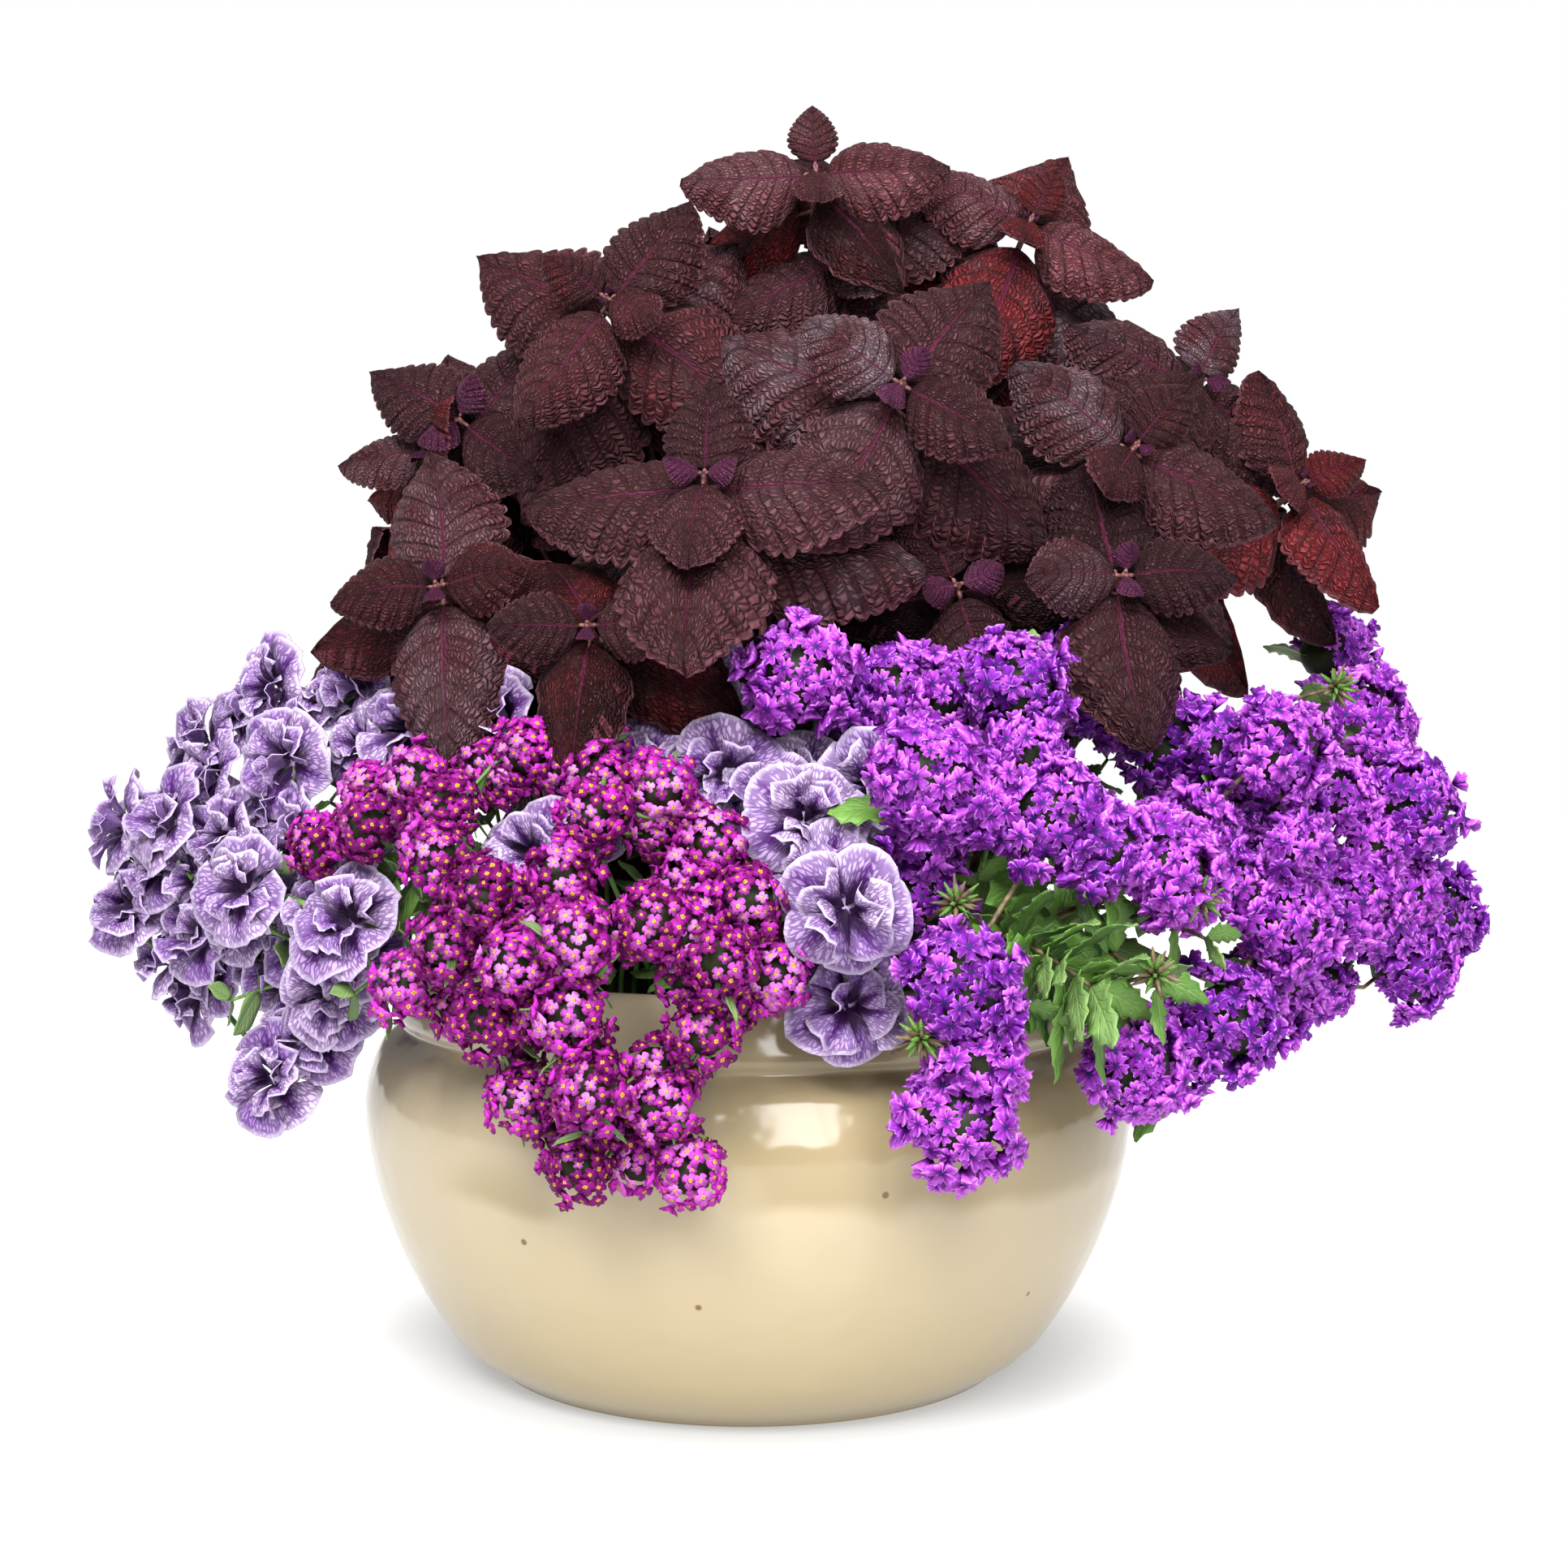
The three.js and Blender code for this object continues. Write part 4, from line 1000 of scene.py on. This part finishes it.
PETUNIA = {"radius": 25.5 * MM, "stem": 2 * MM, "front": 0.1, "behind": 0.6, "size": 1.08, "side": 0.95}
PETUNIA_NEAR = 80 * MM  # blooms as near as this have smaller ones between them
PETUNIA_TURN = 1.3  # radians between the five ways that a CAD bloom may be turned
FIFTH, QUARTER = 1.2566, 1.57  # of a turn


def bloom_rings():
    """The ten corners of a CAD bloom's rim, for each of the five ways."""
    rings = []
    for k in range(5):
        turns = k * PETUNIA_TURN + np.arange(10) * math.pi / 5
        share = np.where(np.arange(10) % 2, 0.84, 1)
        height = np.where(np.arange(10) % 2, -0.12, 0.1)
        rings.append(np.stack([share * np.cos(turns), share * np.sin(turns), height], -1))
    return rings


def add_petal(sheaf, centre, faces, turn, size, lean, spread, ruffles, random, rows=5, columns=8):
    """A broad ruffled petal that leans up from the throat by an angle."""
    s = np.linspace(0, 1, rows + 1)[:, None]
    v = np.linspace(-1, 1, columns + 1)[None, :]
    angle = v * spread * (0.55 + 0.45 * s)
    out = 0.03 + s * (1 - 0.16 * np.abs(v)**3) * (1 + 0.05 * np.sin(3 * v + random.uniform(0, 6)))
    wave = (np.sin(random.uniform(3, 5) * v + random.uniform(0, 6))
            + 0.5 * np.sin(random.uniform(8, 11) * v + random.uniform(0, 6)))
    z = -0.3 * (1 - s)**2 + ruffles * s**2 * wave - 0.14 * s**4
    z = z - 0.09 * np.exp(-((v / 0.18)**2)) * s * (1 - 0.6 * s) - 0.06 * np.abs(v)**4 * s
    x, y = out * np.cos(angle), out * np.sin(angle)
    x, z = x * math.cos(lean) - z * math.sin(lean), x * math.sin(lean) + z * math.cos(lean)
    x, y, z, s, v = (grid.ravel() for grid in np.broadcast_arrays(x, y, z, s, v))
    points = placed(np.stack([x, y, z], -1), centre, faces, turn, size)
    middle = points[(rows // 2) * (columns + 1) + columns // 2]
    normal = unit(faces * math.cos(lean) - unit(middle - centre) * math.sin(lean))
    place = np.stack([s, (v + 1) / 2], -1)
    tone = (random.uniform(0, 1), random.uniform(0, 1))
    sheaf.add_sheet(points, normal * 0.5 * MM, place, tone, rows, columns)


def add_bloom(sheaf, centre, random, size):
    """Five broad petals, four smaller ones over them, and two that stand up in the middle."""
    faces = unit(looks(centre) + random.normal(0, 0.16, 3))
    start = random.uniform(0, 6.3)
    back = centre - faces * 0.7 * size
    sheaf.add_stem([back - faces * 3 * MM, back, centre - faces * 0.3 * size],
                   [1.4 * MM, 2 * MM, 5 * MM], 7, 0, (0.5, 0.5, 1))
    for i in range(5):
        turn = start + i * FIFTH + random.normal(0, 0.1)
        add_petal(sheaf, centre, faces, turn, size * random.uniform(0.94, 1.06),
                  random.normal(0.04, 0.1), random.uniform(0.72, 0.88), 0.1, random)
    for i in range(4):
        turn = start + 0.6 + i * QUARTER + random.normal(0, 0.35)
        add_petal(sheaf, centre, faces, turn, size * random.uniform(0.6, 0.86),
                  random.normal(0.5, 0.18), random.uniform(0.6, 0.8), 0.17, random)
    for i in range(2):
        turn = start + i * 2.9 + random.normal(0, 0.5)
        add_petal(sheaf, centre, faces, turn, size * random.uniform(0.42, 0.6),
                  random.normal(0.95, 0.15), 0.8, 0.2, random)


PETUNIA_COLOUR = {
    "pale": (0.60, 0.45, 0.68, 1), "dusky": (0.32, 0.19, 0.44, 1), "wedge": (0.14, 0.022, 0.27, 1),
    "vein": (0.040, 0.002, 0.10, 1), "rib": (0.07, 0.008, 0.12, 1), "throat": (0.020, 0.002, 0.035, 1),
    "hem": (0.72, 0.62, 0.82, 1), "underneath": (0.36, 0.22, 0.50, 1),
}
VEIN_DEPTH = 0.8 * MM


def petunia_petals():
    """Pale, with a dark wedge along each petal's middle and a net of veins into the throat."""
    colour = PETUNIA_COLOUR
    made, start = new_material("petunia_petal")
    share, over = start.sheet_place()
    mine, other, under = start.own_tone()
    v = over * 2 - 1
    reach = start.math("ABSOLUTE", v)
    cells = {"X": v * (4 + 7 * share) + other * 17, "Y": share * 6, "Z": mine * 31}
    net = start.add("CombineXYZ", (), cells).strayed(0.7, 1.6, 1).edges()
    wedge = (share + reach * 0.7).between(1.12, 0.4)
    vein = net.between(0.28, 0.07) * (0.68 + 0.32 * wedge)
    rib = reach.between(0.10, 0.02) * share.between(1.0, 0.55)
    pale = start.mix(mine, colour["pale"], colour["dusky"])
    tone = start.mix(wedge * 0.9, pale, colour["wedge"])
    tone = start.mix(vein, tone, colour["vein"])
    tone = start.mix(rib * 0.85, tone, colour["rib"])
    tone = start.mix((share + reach * 0.16).between(0.72, 0.3), tone, colour["throat"])
    tone = start.mix(share.between(0.88, 1.0) * 0.55, tone, colour["hem"])
    tone = start.mix(under * 0.4, tone, colour["underneath"])
    sockets = {"Base Color": tone, "Roughness": 0.6, "Specular IOR Level": 0.25}
    finish_surface(start, sockets, net.between(0, 0.3), 0.3, VEIN_DEPTH)
    return made


PETUNIA_SHOOT = {"teeth": 0, "tooth": 0, "width": 0.33}
PETUNIA_LEAF = {**PETUNIA_SHOOT, "rows": 8}
PETUNIA_FINISH = [  # petals are 0, leaves and stems are 1
    petunia_petals(),
    green_leaf("petunia_leaf", (0.05, 0.12, 0.02, 1), (0.14, 0.27, 0.05, 1)),
]
random = np.random.default_rng(11)
petunia_heads = []
for number in range(1, 9):
    points = node_points(f"petunia_{number}")
    foot = foot_in(points)
    heads = heads_in(points, PETUNIA["front"], bloom_rings(), PETUNIA["radius"], 8)
    heads = in_order(foot, heads)
    stops = [head - looks(head) * PETUNIA["behind"] * PETUNIA["radius"] for head in heads]
    path = stem_path(foot, heads[0], stops)
    sheaf = Sheaf()
    sheaf.add_stem(path, np.linspace(PETUNIA["stem"], 1.4 * MM, len(path)), 6, 1)
    for head in heads:
        add_bloom(sheaf, head, random, PETUNIA["radius"] * PETUNIA["size"])
    add_leaves(sheaf, path, 5, random, 1, 20 * MM, **PETUNIA_LEAF)
    petunia_heads += heads
    sheaf.piece(f"petunia_spray_{number}", PETUNIA_FINISH, [f"petunia_{number}"], "petunia")
sheaf = Sheaf()
places = between_heads(petunia_heads, PETUNIA["radius"], PETUNIA_NEAR, (-0.4, 0.1), random)
for spot, source in places:
    spot = spot - looks(spot) * 8 * MM
    add_side_stem(sheaf, source, spot, 10 * MM, 6 * MM, 1.2 * MM, 1)
    add_bloom(sheaf, spot, random, PETUNIA["radius"] * PETUNIA["side"])
sheaf.piece("petunia_side_blooms", PETUNIA_FINISH, [], "petunia")

# --------------------------------------------------------------------------------- alyssum
# Sweet alyssum: thin green stems with round heads of tiny magenta flowers, each with four
# round petals and a yellow eye in a dark ring.

ALYSSUM = {"radius": 16 * MM, "stem": 1.4 * MM, "florets": 52, "floret": 4 * MM, "stand": 1.04}
ALYSSUM_NEAR = 54 * MM  # heads as near as this have smaller ones between them
HIGH_HEAD = 320 * MM  # one above this stands close under a coleus leaf, so it's smaller
ALYSSUM_COLOUR = {
    "magenta": (0.17, 0.001, 0.12, 1), "bright": (0.48, 0.020, 0.42, 1),
    # low is the deeper magenta of older florets, darkened further as painted shade
    "young": (0.48, 0.032, 0.44, 1), "pink": (0.66, 0.25, 0.64, 1), "low": (0.11, 0.001, 0.07, 1),
    "ring": (0.07, 0.002, 0.02, 1), "eye": (0.52, 0.31, 0.02, 1), "hollow": (0.14, 0.07, 0.01, 1),
    # core is painted shade inside a head
    "core": (0.022, 0.028, 0.010, 1),
}


def alyssum_petals():
    """Magenta, pinker on the young front of a head and darker low round it, partly older florets and
    partly painted shade. Its tone is as the verbena's.
    """
    colour = ALYSSUM_COLOUR
    made, start = new_material("alyssum_petal")
    share, level = start.sheet_place()
    mine, head, inside = start.own_tone()
    spots = start.object_place().noise(900, 1)
    old = start.mix((mine + head - 0.5).between(0.0, 1.0), colour["magenta"], colour["bright"])
    young = start.mix(mine, colour["young"], colour["pink"])
    tone = start.mix((level * 0.7 + head * 0.4 + mine * 0.2).between(0.75, 1.15), old, young)
    # darker low round a head: older florets and painted shade
    tone = start.mix(level.between(0.3, -0.2) * 0.55, tone, colour["low"])
    ring = share.between(0.5, 0.36) * spots.between(0.4, 0.6)
    tone = start.mix(ring * 0.8, tone, colour["ring"])
    tone = start.mix(share.between(0.3, 0.22), tone, colour["eye"])
    tone = start.mix(share.between(0.1, 0.05), tone, colour["hollow"])
    # painted shade: the core inside a head
    tone = start.mix(inside, tone, colour["core"])
    finish_surface(start, {"Base Color": tone, "Roughness": 0.6, "Specular IOR Level": 0.2})
    return made


ALYSSUM_LEAF = {"teeth": 0, "tooth": 0, "width": 0.12, "rows": 4}
ALYSSUM_FINISH = [  # petals are 0, leaves and stems are 1
    alyssum_petals(),
    green_leaf("alyssum_leaf", (0.05, 0.13, 0.02, 1), (0.17, 0.30, 0.07, 1)),
]
random = np.random.default_rng(5)
alyssum_florets = [floret(4, 6, 0.0, 0.55, 0.8, (1,), random) for _ in range(8)]
alyssum_heads = []
for number in range(1, 11):
    points = node_points(f"alyssum_{number}")
    foot = foot_in(points)
    heads = in_order(foot, heads_in(points, DOME["front"], dome_ring(5), ALYSSUM["radius"], 4))
    stops = [head - looks(head) * BEHIND * ALYSSUM["radius"] for head in heads]
    path = stem_path(foot, heads[0], stops)
    sheaf = Sheaf()
    sheaf.add_stem(path, np.linspace(ALYSSUM["stem"], 0.9 * MM, len(path)), 5, 1)
    for head in heads:
        size = 1 if head[2] < HIGH_HEAD else 0.8
        add_head(sheaf, ALYSSUM, head, alyssum_florets, random, size)
    add_leaves(sheaf, path, 24, random, 1, 20 * MM, **ALYSSUM_LEAF)
    alyssum_heads += heads
    sheaf.piece(f"alyssum_spray_{number}", ALYSSUM_FINISH, [f"alyssum_{number}"], "alyssum")
sheaf = Sheaf()
places = between_heads(alyssum_heads, ALYSSUM["radius"], ALYSSUM_NEAR, (-1.1, -0.5), random)
for spot, source in places:
    add_side_stem(sheaf, source, spot, 6 * MM, 4 * MM, 0.8 * MM, 1)
    add_head(sheaf, ALYSSUM, spot, alyssum_florets, random, 0.8, 1.0)
sheaf.piece("alyssum_side_heads", ALYSSUM_FINISH, [], "alyssum")

# --------------------------------------------------------------------------------- foliage
# Short leafy shoots of the trailing plants, which stand up from the soil and lean over the
# rim below the flowers, with their leaves in crossed pairs.

LEAFY_FRONT = np.array([  # from the soil over the rim, in the gap between the verbena heads
    [(96, -80, 190), (104, -120, 240), (132, -165, 262), (150, -188, 258)],
    [(110, -70, 188), (126, -105, 236), (172, -150, 246), (202, -168, 232)],
    [(84, -96, 190), (92, -135, 234), (108, -180, 226), (118, -206, 208)],
    [(120, -84, 186), (140, -120, 226), (160, -170, 228), (176, -196, 214)],
    [(100, -90, 190), (118, -130, 250), (160, -160, 272), (186, -172, 270)],
]) * MM
PETUNIA_FRONT = np.array([  # the same between the petunias
    [(-96, -80, 190), (-120, -105, 240), (-148, -128, 262), (-160, -136, 256)],
    [(-104, -60, 188), (-140, -80, 240), (-185, -88, 266), (-214, -90, 256)],
    [(-90, -90, 188), (-118, -125, 230), (-150, -150, 226), (-176, -158, 206)],
    [(-112, -60, 188), (-155, -85, 226), (-210, -92, 206), (-248, -84, 192)],
]) * MM
HIGH_SHOOTS = np.array([  # behind the gaps above the alyssum and under the coleus
    [(112, -20, 188), (135, -25, 240), (158, -30, 275), (178, -40, 306)],
    [(100, -40, 188), (122, -50, 240), (146, -60, 272), (162, -70, 296)],
    [(-108, -30, 188), (-140, -40, 235), (-176, -50, 266), (-204, -60, 286)],
    [(-80, -50, 188), (-96, -58, 232), (-112, -62, 256), (-126, -64, 276)],
]) * MM
RIM_SHOOTS = 24  # all round, over the rim
RIM_FOOT = {"radius": 138 * MM, "height": 186 * MM}
RIM_CREST = 150 * MM  # from the bowl's axis to where their stems bend outwards
SOIL_SHOOTS = 32  # between the stems of the taller plants
SOIL_FOOT = {"radius": 128 * MM, "height": 187 * MM}
TOOTHED = {"leaf": 0, "stem": 2, "shape": VERBENA_LEAF}  # with the numbers of its materials
PLAIN = {"leaf": 1, "stem": 1, "shape": PETUNIA_SHOOT}


def add_shoot(sheaf, path, pairs, length, rows, kind, random):
    """A leafy stem whose crossed pairs get smaller towards its tip."""
    path = rounded(path, 2)
    sheaf.add_stem(path, np.linspace(1.6 * MM, 0.9 * MM, len(path)), 5, kind["stem"])
    along = unit(np.gradient(path, axis=0))
    start = random.uniform(0, 90)
    for i in range(pairs + 1):
        share = 1 - 0.62 * (i / pairs)**0.8
        k = min(round(share * (len(path) - 1)), len(path) - 1)
        grown = 0.4 + 0.6 * math.sin(min(1, (i + 0.4) / 3) * math.pi / 2)
        for opposite in (0, 180):
            grow = (unit(along[k] + UP * 0.2), path[k], start + 90 * i + opposite, 35 + 45 * grown,
                    length * grown * random.uniform(0.85, 1.1))
            leaf = leaf_from(*grow, (random.normal(0, 8), random.normal(0, 8), 1))
            add_green_leaf(sheaf, leaf, random, kind["leaf"], rows=rows, **kind["shape"])


random = np.random.default_rng(3)
sheaf = Sheaf()
for path in LEAFY_FRONT:
    add_shoot(sheaf, path, 4, 40 * MM, 20, TOOTHED, random)
for path in PETUNIA_FRONT:
    add_shoot(sheaf, path, 4, 30 * MM, 8, PLAIN, random)
for i in range(RIM_SHOOTS):
    angle = i * GOLDEN
    out = np.array([math.cos(angle), math.sin(angle), 0])
    side = np.array([-math.sin(angle), math.cos(angle), 0])
    root = out * RIM_FOOT["radius"] + UP * RIM_FOOT["height"]
    lean = random.uniform(-18, 18) * MM
    end = out * random.uniform(176, 196) * MM + side * lean + UP * random.uniform(206, 244) * MM
    crest = out * RIM_CREST + side * lean * 0.3 + UP * random.uniform(218, 240) * MM
    add_shoot(sheaf, [root, (root + crest) / 2, crest, end], 3, 30 * MM, 10, TOOTHED, random)
for i in range(SOIL_SHOOTS):
    angle, radius = i * GOLDEN, SOIL_FOOT["radius"] * math.sqrt((i + 0.5) / SOIL_SHOOTS)
    out = np.array([math.cos(angle), math.sin(angle), 0])
    root = out * radius + UP * SOIL_FOOT["height"]
    top = out * (radius + random.uniform(4, 26) * MM) + UP * random.uniform(236, 326) * MM
    middle = root * 0.5 + top * 0.5 + UP * 12 * MM
    add_shoot(sheaf, [root, middle, top], 3, 36 * MM, 5, PLAIN, random)
for path in HIGH_SHOOTS:
    add_shoot(sheaf, path, 4, 36 * MM, 10, TOOTHED, random)
sheaf.piece("low_shoots", [VERBENA_FINISH[1], PETUNIA_FINISH[1], VERBENA_FINISH[2]], [], "foliage")

# ----------------------------------------------------------------------------------- stage
# A white room: a floor that glows softly, less so in the shade of the bowl, and runs on into
# an even sky, with two soft lights above the camera, which stands in front of the flowers.

FLOOR_SIZE = 8
SHADE = {"from": 0.13, "to": 0.25, "glow": (0.4, 0.4, 0.4, 1)}  # of the bowl on the floor
GREY, WHITE = (0.3, 0.3, 0.3, 1), (1, 1, 1, 1)
SKY = {"low": 0.13, "more overhead": 0.46}  # its light; seen through the camera it is plain white
bpy.ops.mesh.primitive_plane_add(size=FLOOR_SIZE, location=(0, 0, 0))
floor = bpy.context.object
floor.name = "floor"
white, start = new_material("white_floor")
away = start.add("VectorMath", {"operation": "LENGTH"}, {0: start.object_place()}, "Value")
finish_surface(start, {
    "Base Color": GREY, "Roughness": 1.0, "Specular IOR Level": 0.0,
    "Emission Color": start.mix(away.between(SHADE["from"], SHADE["to"]), SHADE["glow"], WHITE),
    "Emission Strength": 1.0,
})
floor.data.materials.append(white)

world = bpy.data.worlds.new("white_room")
bpy.context.scene.world = world
world.use_nodes = True
start = Wire(world.node_tree)
seen = start.add("LightPath", out="Is Camera Ray")
overhead = start.add("TexCoord", out="Generated").split()[2].between(-0.2, 0.9)
glow = SKY["low"] + SKY["more overhead"] * overhead
background = world.node_tree.nodes["Background"]
background.inputs[0].default_value = WHITE
world.node_tree.links.new((glow + seen * (1 - glow)).socket, background.inputs[1])


def softbox(name, place, target, size, watts):
    """A rectangular light that looks at its target."""
    light = bpy.data.lights.new(name, "AREA")
    light.shape, light.size, light.size_y, light.energy = "RECTANGLE", *size, watts
    lamp = bpy.data.objects.new(name, light)
    lamp.location = place
    lamp.rotation_euler = (Vector(target) - Vector(place)).to_track_quat("-Z", "Y").to_euler()
    bpy.context.collection.objects.link(lamp)


softbox("key", (-0.6, -1.7, 1.9), (0, 0, 0.3), (1.0, 1.0), 74)
softbox("window", (0.5, -1.9, 1.6), (0, 0, 0.2), (0.8, 2.0), 60)

camera = bpy.data.objects.new("camera", bpy.data.cameras.new("camera"))
bpy.context.collection.objects.link(camera)
EYE = (0, -1.2, 0.355)
SENSOR = 36
FOCAL_PIXELS, FRAME_PIXELS, AXIS_COLUMN, HORIZON_ROW = 2890, 1932, 922, 813
camera.data.sensor_width = SENSOR
camera.data.lens = SENSOR * FOCAL_PIXELS / FRAME_PIXELS
camera.data.shift_x = (FRAME_PIXELS / 2 - AXIS_COLUMN) / FRAME_PIXELS
camera.location = EYE
dip = math.atan((FRAME_PIXELS / 2 - HORIZON_ROW) / FOCAL_PIXELS)
camera.rotation_euler = Euler((math.pi / 2 - dip, 0, 0))
bpy.context.scene.camera = camera
bpy.context.scene.view_settings.view_transform = "Standard"
